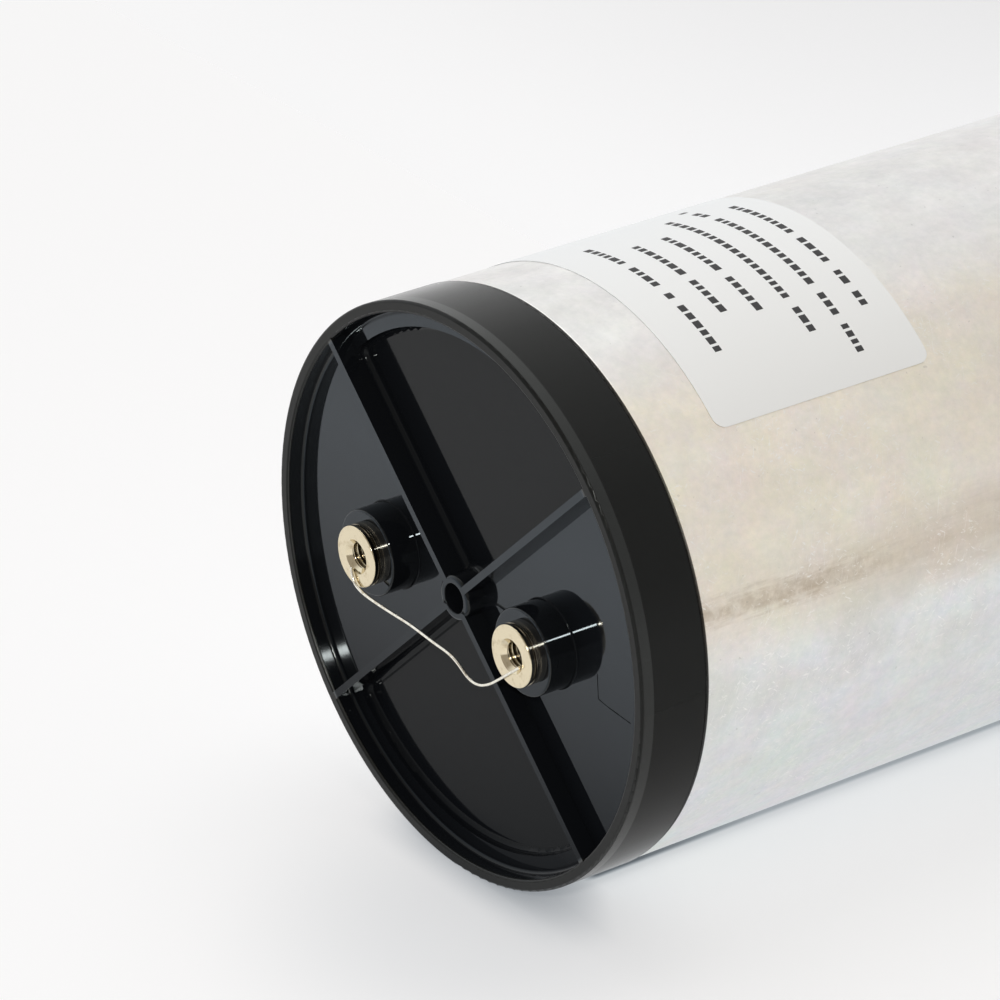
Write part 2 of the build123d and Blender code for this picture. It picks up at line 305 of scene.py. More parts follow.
@dataclass(frozen=True)
class Finish:
    """What every finish has: a name, its relief's strength and depth, and a way to write its shader."""

    name: str
    relief: Pair = (0.3, 0.0001)

    def material(self) -> bpy.types.Material:
        """Make the material, or give it back if it is made already.

        Returns:
            The material.
        """
        found = bpy.data.materials.get(self.name)
        if found:
            return found
        made = bpy.data.materials.new(self.name)
        made.use_nodes = True
        self.write(ShaderGraph(made.node_tree))
        return made

    def write(self, graph: ShaderGraph) -> None:
        """Write the finish's nodes into the material's tree."""
        raise NotImplementedError


@dataclass(frozen=True)
class DrawnAluminium(Finish):
    """Deep-drawn aluminium: pale, streaked along the draw, stained in a band and lightly scratched, with
    painted reflection in its tone round the can, painted glints on its scratches and painted shade at its
    shoulder.
    """

    cool: Colour = (0.785, 0.80, 0.805)
    warm: Colour = (0.90, 0.84, 0.74)
    # bright and edge are painted reflection: bright for the lit surroundings mirrored on the upper and
    # back sides, edge for the shaded sheet mirrored at the lower edge.
    bright: Colour = (0.94, 0.935, 0.92)
    edge: Colour = (0.66, 0.75, 0.77)
    stain: Colour = (0.55, 0.47, 0.37)
    blotch: Colour = (0.62, 0.63, 0.57)
    # scuff: real scuffs, their whiteness a painted glint.
    scuff: Colour = (0.98, 0.97, 0.95)
    warm_from: Pair = (0.0, 0.30)
    bright_from: Pair = (0.85, 1.35)
    edge_from: Pair = (-0.75, -1.05)
    back_from: Pair = (-1.6, -2.8)
    back_fade: Pair = (3.0, 2.2)
    draw_stretch: float = 0.12
    relief: Pair = (0.28, 0.0002)
    streaks: Grain = Grain(95.0, 5.0, 0.6)
    streak_tone: Pair = (0.975, 1.02)
    streak_rough: Pair = (-0.05, 0.05)
    streak_relief: float = 0.6
    broad_streaks: Grain = Grain(22.0, 3.0, 0.55)
    broad_sway: Pair = (-0.05, 0.05)
    mottling: Grain = Grain(160.0, 4.0, 0.65)
    mottle_tone: Pair = (-0.035, 0.03)
    mottle_rough: Pair = (-0.05, 0.06)
    mottle_relief: float = 0.5
    fine_mottling: Grain = Grain(600.0, 4.0, 0.7)
    fine_tone: Pair = (-0.04, 0.04)
    patches: Grain = Grain(38.0, 3.0, 0.6)
    patch_relief: float = 0.8
    tints: Grain = Grain(75.0, 5.0, 0.75)
    tint_share: float = 0.5
    ragging: Grain = Grain(1300.0, 3.0, 0.6)
    ragged_sway: Pair = (-0.016, 0.016)
    pebbles: Grain = Grain(420.0, 4.0, 0.65)
    pebble_span: tuple[float, ...] = (0.38, 0.62, 0.45, 1.25)
    pits: Grain = Grain(1100.0, 1.0, 0.3)
    pit_edge: Pair = (0.77, 0.81)
    pit_depth: float = 0.14
    roughness: float = 0.46
    scuff_share: float = 0.6
    scuff_shine: float = 0.10
    scuff_relief: float = -0.25
    stain_bearing: float = math.radians(14.1)
    stain_slant: float = 0.30
    stain_fade: float = 0.105
    stain_full: float = 0.165
    core_edge: Pair = (0.055, 0.008)
    core_share: Pair = (0.58, 0.06)
    halo_edge: Pair = (0.20, 0.02)
    halo_span: tuple[float, ...] = (0.10, 0.165, 0.55, 0.22)
    stain_streaks: tuple[float, ...] = (0.36, 0.62, 0.45, 1.15)
    blotch_from: Pair = (-0.35, 0.0)
    blotch_to: Pair = (0.30, 0.12)
    blotch_edge: Pair = (0.44, 0.64)
    blotch_share: float = 0.45
    handled_fade: Pair = (0.165, 0.09)
    handled_from: Pair = (0.05, 0.30)
    handled_share: float = 0.045
    gap_edge: Pair = (174.2 * MM, 174.32 * MM)
    gap_share: float = 0.92
    cluster_noise: Grain = Grain(45.0)
    cluster_edge: Pair = (0.34, 0.60)
    mark_slants: tuple[Pair, ...] = ((0.0, 1500.0), (11.0, 1700.0), (-14.0, 1600.0), (45.0, 1900.0))
    mark_stretch: float = 0.42
    mark_edge: Pair = (0.64, 0.76)

    def write(self, graph: ShaderGraph) -> None:
        """Write the tone round the can, partly painted reflection, the stained band, mottling, scratches
        with painted glints, a faint darkening towards the foot and painted shade at the shoulder.

        Args:
            graph: the material's tree.
        """
        place = graph.place
        x, y, height = graph.parts(place)
        along = graph.twisted(place, 0.0, self.draw_stretch)
        streak = graph.noise(along, self.streaks)
        broad = graph.noise(along, self.broad_streaks)
        mottle = graph.noise(place, self.mottling)
        patch = graph.noise(place, self.patches)
        bearing = graph.plus(graph.math("ARCTAN2", y, x), graph.sway(broad, *self.broad_sway))
        tone = self.tone(graph, bearing)
        stained = self.stain_mask(graph, along, bearing, height, streak)
        tone = graph.blend(stained, tone, self.stain)
        tone = graph.blend(self.blotch_mask(graph, bearing, patch), tone, self.blotch)
        marks = self.scratches(graph)
        pits = graph.step(graph.noise(place, self.pits), *self.pit_edge)
        worn = graph.plus(graph.sway(mottle, *self.mottle_tone), graph.sway(streak, *self.streak_tone))
        worn = graph.minus(worn, graph.times(pits, self.pit_depth))
        worn = graph.plus(worn, graph.sway(graph.noise(place, self.fine_mottling), *self.fine_tone))
        # Scratches are whitened: real scuffs with a painted glint.
        tone = graph.blend(graph.times(marks, self.scuff_share), graph.scaled(tone, worn), self.scuff)
        # A faint darkening towards the foot, on the side from bearing 0.3 to 2.2 rad, in part a painted
        # reflection.
        foot_darkening = graph.all_of(
            graph.step(height, *self.handled_fade),
            graph.step(bearing, *self.handled_from),
            graph.step(bearing, *self.back_fade),
        )
        tone = graph.scaled(tone, graph.less(foot_darkening, self.handled_share))
        # Painted shade: the can's shoulder just under the lid's foot is darkened, where shade falls in the
        # joint.
        gap = graph.step(height, *self.gap_edge)
        rough = graph.plus(graph.sway(mottle, *self.mottle_rough), graph.sway(streak, *self.streak_rough))
        rough = graph.minus(rough, graph.times(marks, self.scuff_shine))
        graph.set(
            Base_Color=graph.scaled(tone, graph.less(gap, self.gap_share)),
            Metallic=1.0,
            Roughness=graph.plus(rough, self.roughness),
        )
        relief = graph.times(streak, self.streak_relief, graph.times(mottle, self.mottle_relief))
        relief = graph.times(patch, self.patch_relief, relief)
        graph.bump(graph.times(marks, self.scuff_relief, relief), *self.relief)

    def tone(self, graph: ShaderGraph, bearing: Socket) -> Socket:
        """Change the metal's tone round the can, partly painted reflection that is brighter on the upper
        and back sides and darker and cooler at the lower edge, with a faint play of tints.

        Args:
            graph: the material's tree.
            bearing: angle round the can.

        Returns:
            The tone's socket.
        """
        tone = self.cool
        steps = (
            (self.warm_from, self.warm),
            (self.bright_from, self.bright),
            (self.edge_from, self.edge),
            (self.back_from, self.bright),
        )
        for border, colour in steps:
            tone = graph.blend(graph.step(bearing, *border), tone, colour)
        return graph.blend(self.tint_share, tone, graph.noise(graph.place, self.tints, 1), "SOFT_LIGHT")

    def stain_mask(
        self, graph: ShaderGraph, along: Socket, bearing: Socket, height: Socket, streak: Socket
    ) -> Socket:
        """Mask of the brown stain: a dark pebbled core near the lid and a wide faint halo.

        Args:
            graph: the material's tree.
            along: the place, stretched along the can.
            bearing: angle round the can.
            height: height on the can.
            streak: streaks along the can.

        Returns:
            The mask's socket.
        """
        ragged = graph.plus(bearing, graph.sway(graph.noise(along, self.ragging), *self.ragged_sway))
        ragged = graph.times(height, -self.stain_slant, ragged)
        middle = self.stain_bearing - self.stain_slant * self.stain_fade
        off = graph.math("ABSOLUTE", graph.minus(ragged, middle))
        near_lid = graph.step(height, self.stain_fade, self.stain_full)
        pebbled = graph.span(graph.noise(graph.place, self.pebbles), *self.pebble_span)
        share = graph.times(near_lid, *self.core_share)
        core = graph.all_of(graph.step(off, *self.core_edge), share, pebbled)
        halo = graph.times(graph.step(off, *self.halo_edge), graph.span(height, *self.halo_span))
        return graph.times(graph.plus(core, halo), graph.span(streak, *self.stain_streaks))

    def blotch_mask(self, graph: ShaderGraph, bearing: Socket, patch: Socket) -> Socket:
        """Mask of faint grey-green blotches under the stained band, from the bearing and a broad noise."""
        zone = graph.times(graph.step(bearing, *self.blotch_from), graph.step(bearing, *self.blotch_to))
        return graph.all_of(zone, graph.step(patch, *self.blotch_edge), self.blotch_share)

    def scratches(self, graph: ShaderGraph) -> Socket:
        """Mask of short fine scuffs that run in several slants.

        Args:
            graph: the material's tree.

        Returns:
            The mask's socket.
        """
        clusters = graph.step(graph.noise(graph.place, self.cluster_noise), *self.cluster_edge)
        lines = []
        for turn, scale in self.mark_slants:
            wound = graph.twisted(graph.place, turn, self.mark_stretch)
            lines.append(graph.step(graph.noise(wound, Grain(scale)), *self.mark_edge))
        return graph.times(reduce(lambda one, two: graph.math("MAXIMUM", one, two), lines), clusters)


@dataclass
class LidZones:
    """Where a place lies on the lid: its coordinates, and masks that are 1 in each area."""

    x: Socket
    y: Socket
    radius: Socket
    height: Socket
    rim: Socket
    satin: Socket
    pocket: Socket
    wall: Socket
    line: Socket


@dataclass(frozen=True)
class MouldedLid(Finish):
    """Black moulded plastic: mirror-smooth floors, duller pockets, satin rim and outer band."""

    colour: Colour = (0.0055, 0.0064, 0.0080)
    band_colour: Colour = (0.0062, 0.0062, 0.0060)
    # floor_tint and plain_tint tint the lid's reflection, a painted reflection colour: bluer on upward
    # floors outside the pockets.
    floor_tint: Colour = (0.66, 0.84, 1.0)
    plain_tint: Colour = (0.95, 1.0, 0.97)
    floor_facing: Pair = (0.7, 0.95)
    ior: float = 1.5
    relief: Pair = (0.04, 0.0001)
    smears: Grain = Grain(45.0, 3.0, 0.55)
    inner_smear: tuple[float, ...] = (0.35, 0.7, 0.0, 0.03)
    outer_smear: Pair = (-0.02, 0.04)
    satin_grain: Grain = Grain(2200.0)
    satin_relief: float = 0.12
    peel: Grain = Grain(260.0, 1.0, 0.4)
    peel_relief: float = 0.25
    gloss: float = 0.03
    satin: float = 0.17
    rim_dulling: float = 0.12
    pocket_dulling: float = 0.02
    slope_dulling: float = 0.12
    wall_dulling: float = 0.05
    worn_shine: float = 0.05
    clean_shine: float = 0.5
    pocket_shine: Pair = (0.072, 0.140)
    worn_side: float = -0.045
    clean_side: float = 0.020
    wall_shine: float = 0.45
    band_shine: float = 0.41
    rim_shine: float = 0.20
    lip_shine: float = 0.6
    upper_shine: tuple[tuple[float, ...], ...] = ((0.7, 1.4, 0.0, 0.42), (1.4, 2.0, 0.0, 1.35))
    lower_shine: tuple[float, ...] = (-0.6, 0.2, -0.15, 0.0)
    back_fade: Pair = (3.0, 2.2)
    foot_line_share: float = 0.8
    boss_foot_share: float = 0.86
    cove_share: float = 0.6
    band_from: Pair = (57.6 * MM, 57.7 * MM)
    foot_line_edge: Pair = (175.35 * MM, 175.20 * MM)
    rim_from: Pair = (55.2 * MM, 55.4 * MM)
    rim_above: Pair = (189.2 * MM, 189.5 * MM)
    lip_radius: float = 55.5 * MM
    lip_edge: Pair = (0.25 * MM, 0.1 * MM)
    wall_from: Pair = (54.8 * MM, 55.3 * MM)
    cove_from: Pair = (54.2 * MM, 54.8 * MM)
    cove_below: Pair = (187.3 * MM, 187.0 * MM)
    pocket_within: Pair = (52.2 * MM, 52.0 * MM)
    pocket_below: Pair = (185.9 * MM, 185.6 * MM)
    hub_outside: Pair = (4.8 * MM, 5.0 * MM)
    slope_above: Pair = (184.35 * MM, 184.60 * MM)
    boss_spacing: float = 50.0 * MM
    boss_within: Pair = (9.04 * MM, 8.98 * MM)
    boss_foot_below: Pair = (186.62 * MM, 186.58 * MM)
    hairline: tuple[Pair, ...] = ((39.9, 0.0), (40.3, -5.0), (43.2, -5.4), (49.9, -5.8))
    hairline_height: float = 186.3 * MM
    hairline_edge: Pair = (0.17 * MM, 0.085 * MM)
    hairline_noise: Grain = Grain(500.0)
    hairline_sway: Pair = (-0.05 * MM, 0.05 * MM)
    hairline_dark: float = 0.8
    hairline_matt: float = 0.9
    hairline_rough: float = 0.4

    def write(self, graph: ShaderGraph) -> None:
        """Write the gloss and satin areas with smears, a flow line and a slight orange peel, and painted
        shade, sheen and highlight in their shine.

        Args:
            graph: the material's tree.
        """
        zones = self.zones(graph)
        tone = graph.blend(zones.satin, self.colour, self.band_colour)
        facing = graph.parts(graph.add("ShaderNodeNewGeometry").outputs["True Normal"])[2]
        outside_pocket, unsatin = graph.minus(1.0, zones.pocket), graph.minus(1.0, zones.satin)
        floors = graph.all_of(graph.step(facing, *self.floor_facing), outside_pocket, unsatin)
        # Painted shade: the cove at the foot of the rim's wall shines less.
        cove = graph.step(zones.radius, *self.cove_from)
        cove = graph.times(cove, graph.step(zones.height, *self.cove_below))
        shine = graph.all_of(
            graph.mix(zones.satin, self.inner_shine(graph, zones), self.outer_shine(graph, zones)),
            graph.less(self.boss_foot(graph, zones), self.boss_foot_share),
            graph.less(cove, self.cove_share),
            graph.less(zones.line, self.hairline_matt),
        )
        graph.set(
            Base_Color=graph.scaled(tone, graph.less(zones.line, self.hairline_dark)),
            Roughness=self.rough(graph, zones),
            Specular_Tint=graph.blend(floors, self.plain_tint, self.floor_tint),
            Specular_IOR_Level=shine,
            IOR=self.ior,
        )
        peel = graph.times(graph.noise(graph.place, self.peel), self.peel_relief)
        grain = graph.noise(graph.place, self.satin_grain)
        graph.bump(graph.times(grain, graph.times(zones.satin, self.satin_relief), peel), *self.relief)

    def zones(self, graph: ShaderGraph) -> LidZones:
        """Tell the lid's areas apart by radius and height.

        Args:
            graph: the material's tree.

        Returns:
            The areas' masks.
        """
        x, y, height = graph.parts(graph.place)
        radius = graph.length(graph.point(x, y))
        rim = graph.times(graph.step(radius, *self.rim_from), graph.step(height, *self.rim_above))
        pocket = graph.all_of(
            graph.step(height, *self.pocket_below),
            graph.step(radius, *self.pocket_within),
            graph.step(radius, *self.hub_outside),
        )
        return LidZones(
            x=x,
            y=y,
            radius=radius,
            height=height,
            rim=rim,
            satin=graph.math("MAXIMUM", graph.step(radius, *self.band_from), rim),
            pocket=pocket,
            wall=graph.step(radius, *self.wall_from),
            line=self.flow_line(graph),
        )

    def rough(self, graph: ShaderGraph, zones: LidZones) -> Socket:
        """Work out the roughness: near mirror inside, satin outside.

        Args:
            graph: the material's tree.
            zones: the lid's areas.

        Returns:
            The roughness's socket.
        """
        smear = graph.noise(graph.place, self.smears)
        slope = graph.times(zones.pocket, graph.step(zones.height, *self.slope_above))
        inner = graph.plus(graph.span(smear, *self.inner_smear), self.gloss)
        inner = graph.times(zones.pocket, self.pocket_dulling, inner)
        inner = graph.times(slope, self.slope_dulling, inner)
        inner = graph.times(zones.wall, self.wall_dulling, inner)
        outer = graph.plus(graph.sway(smear, *self.outer_smear), self.satin)
        outer = graph.times(zones.rim, self.rim_dulling, outer)
        return graph.times(zones.line, self.hairline_rough, graph.mix(zones.satin, inner, outer))

    def inner_shine(self, graph: ShaderGraph, zones: LidZones) -> Socket:
        """Work out how floors, pockets and wall shine, with a painted shade that dims their reflection
        towards -Y.

        Args:
            graph: the material's tree.
            zones: the lid's areas.

        Returns:
            The shine's socket.
        """
        # Painted shade: the floors' and pockets' reflection dims towards -Y.
        floor_sheen = graph.span(zones.y, self.worn_side, self.clean_side, self.worn_shine, self.clean_shine)
        pocket_sheen = graph.span(zones.y, self.worn_side, -self.worn_side, *self.pocket_shine)
        return graph.times(zones.wall, self.wall_shine, graph.mix(zones.pocket, floor_sheen, pocket_sheen))

    def outer_shine(self, graph: ShaderGraph, zones: LidZones) -> Socket:
        """Work out how band and rim shine: a painted sheen stronger on top, a painted highlight along the
        rim's lip and a painted shade line at the band's foot.

        Args:
            graph: the material's tree.
            zones: the lid's areas.

        Returns:
            The shine's socket.
        """
        bearing = graph.math("ARCTAN2", zones.y, zones.x)
        # Painted sheen: the band shines more towards the top and less towards the bottom.
        upper = graph.plus(*(graph.span(bearing, *rise) for rise in self.upper_shine))
        upper = graph.times(upper, graph.step(bearing, *self.back_fade))
        lower_back = (-bound for bound in self.back_fade)
        lower = graph.times(graph.span(bearing, *self.lower_shine), graph.step(bearing, *lower_back))
        # Painted shade: the band's shine is cut at its foot, in the joint with the can.
        foot_line = graph.step(zones.height, *self.foot_line_edge)
        band = graph.plus(graph.plus(upper, lower), self.band_shine)
        band = graph.times(band, graph.less(foot_line, self.foot_line_share))
        # Painted highlight along the rim's inner lip.
        off = graph.math("ABSOLUTE", graph.minus(zones.radius, self.lip_radius))
        lip = graph.times(graph.step(off, *self.lip_edge), zones.rim)
        return graph.mix(zones.rim, band, graph.times(lip, self.lip_shine, self.rim_shine))

    def boss_foot(self, graph: ShaderGraph, zones: LidZones) -> Socket:
        """Mask of the tight corner at the foot of each boss, where the shine is cut as painted shade.

        Args:
            graph: the material's tree.
            zones: the lid's areas.

        Returns:
            The mask's socket.
        """
        away = graph.minus(graph.math("ABSOLUTE", zones.x), self.boss_spacing / 2)
        near = graph.step(graph.length(graph.point(away, zones.y)), *self.boss_within)
        return graph.times(near, graph.step(zones.height, *self.boss_foot_below))

    def flow_line(self, graph: ShaderGraph) -> Socket:
        """Mask of the fine flow line on the floor beside the right terminal.

        Args:
            graph: the material's tree.

        Returns:
            The mask's socket.
        """
        points = [(x * MM, y * MM, self.hairline_height) for x, y in self.hairline]
        near = [graph.line_distance(graph.place, *ends) for ends in zip(points, points[1:])]
        nearest = reduce(lambda one, two: graph.math("MINIMUM", one, two), near)
        wander = graph.sway(graph.noise(graph.place, self.hairline_noise), *self.hairline_sway)
        return graph.step(graph.plus(nearest, wander), *self.hairline_edge)


@dataclass(frozen=True)
class TurnedNickel(Finish):
    """Nickel-plated brass off a lathe, with fine rings round its own axis."""

    centre: Point = (0.0, 0.0, 0.0)
    colour: Colour = (0.77, 0.68, 0.49)
    tarnish: Colour = (0.56, 0.45, 0.29)
    sooty: Colour = (0.25, 0.225, 0.18)
    roughness: float = 0.13
    relief: Pair = (0.3, 0.00003)
    bore_within: Pair = (3.6 * MM, 3.3 * MM)
    dark_below: Pair = (-1.0 * MM, -4.0 * MM)
    dark_share: float = 0.75
    side_below: Pair = (-0.15 * MM, -0.35 * MM)
    face_above: Pair = (-0.3 * MM, -0.1 * MM)
    face_relief: Pair = (0.7, 0.3)
    tool_rings: Grain = Grain(9000.0, 2.0, 0.6)
    ring_soot: tuple[float, ...] = (0.35, 0.65, 0.5, 1.6)
    ring_rough: Pair = (-0.03, 0.05)
    spots: Grain = Grain(420.0, 4.0, 0.6)
    spot_edge: Pair = (0.5, 0.75)
    spot_relief: float = 0.4

    def write(self, graph: ShaderGraph) -> None:
        """Write the turned rings, slight tarnish, painted shade deep in the bore, a darkened side below
        the face and the plating's roughness.

        Args:
            graph: the material's tree.
        """
        moved = graph.vector("SUBTRACT", graph.place, self.centre).outputs[0]
        radius, height = graph.radius_and_height(moved)
        rings = graph.noise(graph.point(radius, height), self.tool_rings)
        spots = graph.noise(moved, self.spots)
        tone = graph.blend(graph.step(spots, *self.spot_edge), self.colour, self.tarnish)
        bore = graph.step(radius, *self.bore_within)
        # Painted shade deep in the bore, below the mouth.
        deep = graph.times(bore, graph.step(height, *self.dark_below))
        # The head's side below the face is darkened to a dark ringed tone.
        side = graph.times(graph.minus(1.0, bore), graph.step(height, *self.side_below))
        side_darkening = graph.scaled(self.sooty, graph.span(rings, *self.ring_soot))
        graph.set(
            Base_Color=graph.blend(side, graph.scaled(tone, graph.less(deep, self.dark_share)), side_darkening),
            Metallic=1.0,
            Roughness=graph.plus(graph.sway(rings, *self.ring_rough), self.roughness),
        )
        face = graph.times(graph.step(height, *self.face_above), *self.face_relief)
        graph.bump(graph.times(graph.times(spots, self.spot_relief, rings), face), *self.relief)


@dataclass(frozen=True)
class TinnedWire(Finish):
    """Tinned copper wire, bright with a little handling wear."""

    colour: Colour = (0.90, 0.87, 0.77)
    worn: Colour = (0.62, 0.55, 0.42)
    relief: Pair = (0.2, 0.00003)
    roughness: Pair = (0.16, 0.30)
    mottling: Grain = Grain(1500.0, 3.0, 0.6)
    worn_edge: Pair = (0.45, 0.75)

    def write(self, graph: ShaderGraph) -> None:
        """Write the tin's mottle and roughness.

        Args:
            graph: the material's tree.
        """
        mottle = graph.noise(graph.place, self.mottling)
        tone = graph.blend(graph.step(mottle, *self.worn_edge), self.colour, self.worn)
        graph.set(Base_Color=tone, Metallic=1.0, Roughness=graph.sway(mottle, *self.roughness))
        graph.bump(mottle, *self.relief)


@dataclass(frozen=True)
class LabelFilm(Finish):
    """Matt label film or its print."""

    colour: Colour = (0.96, 0.955, 0.95)
    roughness: float = 0.45
    metal: float = 0.30
    relief: Pair = (0.08, 0.0002)
    clouds: Grain = Grain(60.0, 3.0, 0.5)
    cloud_tone: Pair = (0.97, 1.03)
    specks: Grain = Grain(1800.0, 2.0, 0.6)
    speck_rough: Pair = (-0.04, 0.05)
    speck_relief: float = 0.2

    def write(self, graph: ShaderGraph) -> None:
        """Write the film's slight cloudiness and its lie on the metal.

        Args:
            graph: the material's tree.
        """
        cloud = graph.noise(graph.place, self.clouds)
        speck = graph.noise(graph.place, self.specks)
        graph.set(
            Base_Color=graph.scaled(self.colour, graph.sway(cloud, *self.cloud_tone)),
            Metallic=self.metal,
            Roughness=graph.plus(graph.sway(speck, *self.speck_rough), self.roughness),
        )
        graph.bump(graph.times(speck, self.speck_relief, cloud), *self.relief)


class Inner(Enum):
    """Materials inside the can: colour, metallic share, roughness and grain in waves per metre."""

    PRESSBOARD = ((0.42, 0.31, 0.17), 0.0, 0.75, 900.0)
    METALLISED_FILM = ((0.70, 0.71, 0.73), 0.9, 0.25, 300.0)
    WRAP = ((0.66, 0.58, 0.33), 0.0, 0.2, 150.0)
    CORE = ((0.62, 0.62, 0.58), 0.0, 0.4, 400.0)
    SPRAYED_ZINC = ((0.42, 0.43, 0.45), 0.8, 0.7, 2500.0)
    TINNED_COPPER = ((0.74, 0.72, 0.68), 1.0, 0.3, 600.0)
    SLEEVE = ((0.45, 0.04, 0.02), 0.0, 0.45, 500.0)
    RESIN = ((0.018, 0.018, 0.02), 0.0, 0.22, 120.0)


@dataclass(frozen=True)
class InnerFinish(Finish):
    """One of the plain materials inside the can."""

    kind: Inner = Inner.RESIN
    mottle_tone: Pair = (0.82, 1.15)
    mottle_rough: Pair = (0.9, 1.1)

    def write(self, graph: ShaderGraph) -> None:
        """Write the material's colour, mottle and grain.

        Args:
            graph: the material's tree.
        """
        colour, metal, rough, scale = self.kind.value
        mottle = graph.noise(graph.place, Grain(scale, 4.0, 0.6))
        tone = graph.scaled(colour, graph.sway(mottle, *self.mottle_tone))
        ends = (rough * share for share in self.mottle_rough)
        graph.set(Base_Color=tone, Metallic=metal, Roughness=graph.sway(mottle, *ends))
        graph.bump(mottle, *self.relief)


# ---- meshes --------------------------------------------------------------------


def keep_mesh(shape: bmesh.types.BMesh, name: str, smooth_deg: float = 35.0) -> bpy.types.Object:
    """Turn a finished bmesh into an object at the origin.

    Args:
        shape: the mesh, which is freed.
        name: the object's name.
        smooth_deg: edges that turn less than this are shaded smooth.

    Returns:
        The object, linked to the scene.
    """
    bmesh.ops.remove_doubles(shape, verts=shape.verts, dist=1e-7)
    bmesh.ops.recalc_face_normals(shape, faces=shape.faces)
    limit = math.radians(smooth_deg)
    for face in shape.faces:
        face.smooth = True
    for edge in shape.edges:
        edge.smooth = len(edge.link_faces) == 2 and edge.calc_face_angle(0.0) < limit
    mesh = bpy.data.meshes.new(name)
    shape.to_mesh(mesh)
    shape.free()
    return show(name, mesh)


def show(name: str, data: bpy.types.ID | None) -> bpy.types.Object:
    """Make an object of some data and link it to the scene.

    Args:
        name: the object's name.
        data: its mesh, curve, light or camera.

    Returns:
        The object.
    """
    made = bpy.data.objects.new(name, data)
    bpy.context.scene.collection.objects.link(made)
    return made


def lathe(shape: bmesh.types.BMesh, outline: list[Pair], centre: Point, segments: int) -> None:
    """Turn a closed outline round a vertical axis.

    Args:
        shape: the mesh to add to.
        outline: (radius, height) points in metres; a radius of 0 closes on the axis.
        centre: a point on the axis.
        segments: steps round the axis.
    """
    turns = [2 * math.pi * k / segments for k in range(segments)]
    rings = []
    for radius, height in outline:
        if radius <= 0.0:
            rings.append([shape.verts.new((centre[0], centre[1], height))] * segments)
            continue
        flat = [(centre[0] + radius * math.cos(a), centre[1] + radius * math.sin(a)) for a in turns]
        rings.append([shape.verts.new((*place, height)) for place in flat])
    for lower, upper in zip(rings, rings[1:] + rings[:1]):
        for k in range(segments):
            n = (k + 1) % segments
            corners = [lower[k], lower[n], upper[n], upper[k]]
            corners = [v for i, v in enumerate(corners) if v not in corners[:i]]
            if len(corners) > 2:
                shape.faces.new(corners)


def arc(centre: Pair, radius: float, start: float, end: float, steps: int) -> list[Pair]:
    """Points of an arc in the (radius, height) plane; its start and end are in degrees, both included."""
    angles = [math.radians(start + (end - start) * k / steps) for k in range(steps + 1)]
    return [(centre[0] + radius * math.cos(a), centre[1] + radius * math.sin(a)) for a in angles]


def give(piece: bpy.types.Object, finish: Finish) -> bpy.types.Object:
    """Put one finish all over a piece.

    Args:
        piece: the piece.
        finish: its finish.

    Returns:
        The same piece.
    """
    piece.data.materials.clear()
    piece.data.materials.append(finish.material())
    return piece


def settle(piece: bpy.types.Object, slot: str, *nodes: str) -> None:
    """Let a piece ride on the body and hide the CAD nodes that it replaces.

    Args:
        piece: the finished piece.
        slot: not used.
        nodes: CAD nodes that it replaces.
    """
    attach(piece, "root")
    if nodes:
        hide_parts(*nodes)
    log.info("piece %s: %d faces", piece.name, len(getattr(piece.data, "polygons", ())))


def join(pieces: list[bpy.types.Object]) -> bpy.types.Object:
    """Join mesh objects into the first of them.

    Args:
        pieces: the objects, all at the origin.

    Returns:
        The first object, which now holds them all.
    """
    first = pieces[0]
    shape = bmesh.new()
    shape.from_mesh(first.data)
    for other in pieces[1:]:
        shape.from_mesh(other.data)
        bpy.data.objects.remove(other)
    shape.to_mesh(first.data)
    shape.free()
    return first


@dataclass
class Recipe:
    """A Geometry Nodes tree with named inputs, run on an empty mesh as often as wanted."""

    name: str
    finish: Finish
    graph: Graph = field(init=False)
    keys: dict[str, str] = field(default_factory=dict)
    values: dict[str, object] = field(default_factory=dict)

    def __post_init__(self) -> None:
        """Start the tree with its geometry output and its group input."""
        tree = bpy.data.node_groups.new(self.name, "GeometryNodeTree")
        tree.interface.new_socket("Geometry", in_out="OUTPUT", socket_type="NodeSocketGeometry")
        self.graph = Graph(tree)
        self.source = self.graph.add("NodeGroupInput")

    def given(self, name: str, value: float | int) -> Socket:
        """Add a named input.

        Args:
            name: the input's name.
            value: its value; a whole number makes a whole-number input.

        Returns:
            The socket that carries it in the tree.
        """
        kind = "NodeSocketInt" if isinstance(value, int) else "NodeSocketFloat"
        item = self.graph.tree.interface.new_socket(name, in_out="INPUT", socket_type=kind)
        item.default_value = value
        self.keys[name] = item.identifier
        self.values[name] = value
        return self.source.outputs[name]

    def end(self, geometry: Socket) -> None:
        """Close the tree with real geometry and its material.

        Args:
            geometry: the last geometry in the tree.
        """
        real = self.graph.out("GeometryNodeRealizeInstances", in_0=geometry)
        material = self.finish.material()
        dressed = self.graph.out("GeometryNodeSetMaterial", in_Geometry=real, in_Material=material)
        self.graph.add("NodeGroupOutput", in_0=dressed)

    def bake(self, name: str, **changes: float) -> bpy.types.Object:
        """Run the tree and keep the result as a plain mesh.

        Args:
            name: the result's name.
            changes: other values of named inputs, with _ for each space.

        Returns:
            The mesh object.
        """
        empty = bpy.data.meshes.new(name)
        carrier = show(name, empty)
        modifier = carrier.modifiers.new(self.name, "NODES")
        modifier.node_group = self.graph.tree
        for label, key in self.keys.items():
            modifier[key] = changes.get(label.replace(" ", "_"), self.values[label])
        seen = carrier.evaluated_get(bpy.context.evaluated_depsgraph_get())
        mesh = bpy.data.meshes.new_from_object(seen)
        bpy.data.objects.remove(carrier)
        bpy.data.meshes.remove(empty)
        mesh.name = name
        return show(name, mesh)


# ---- the object's pieces -----------------------------------------------------------


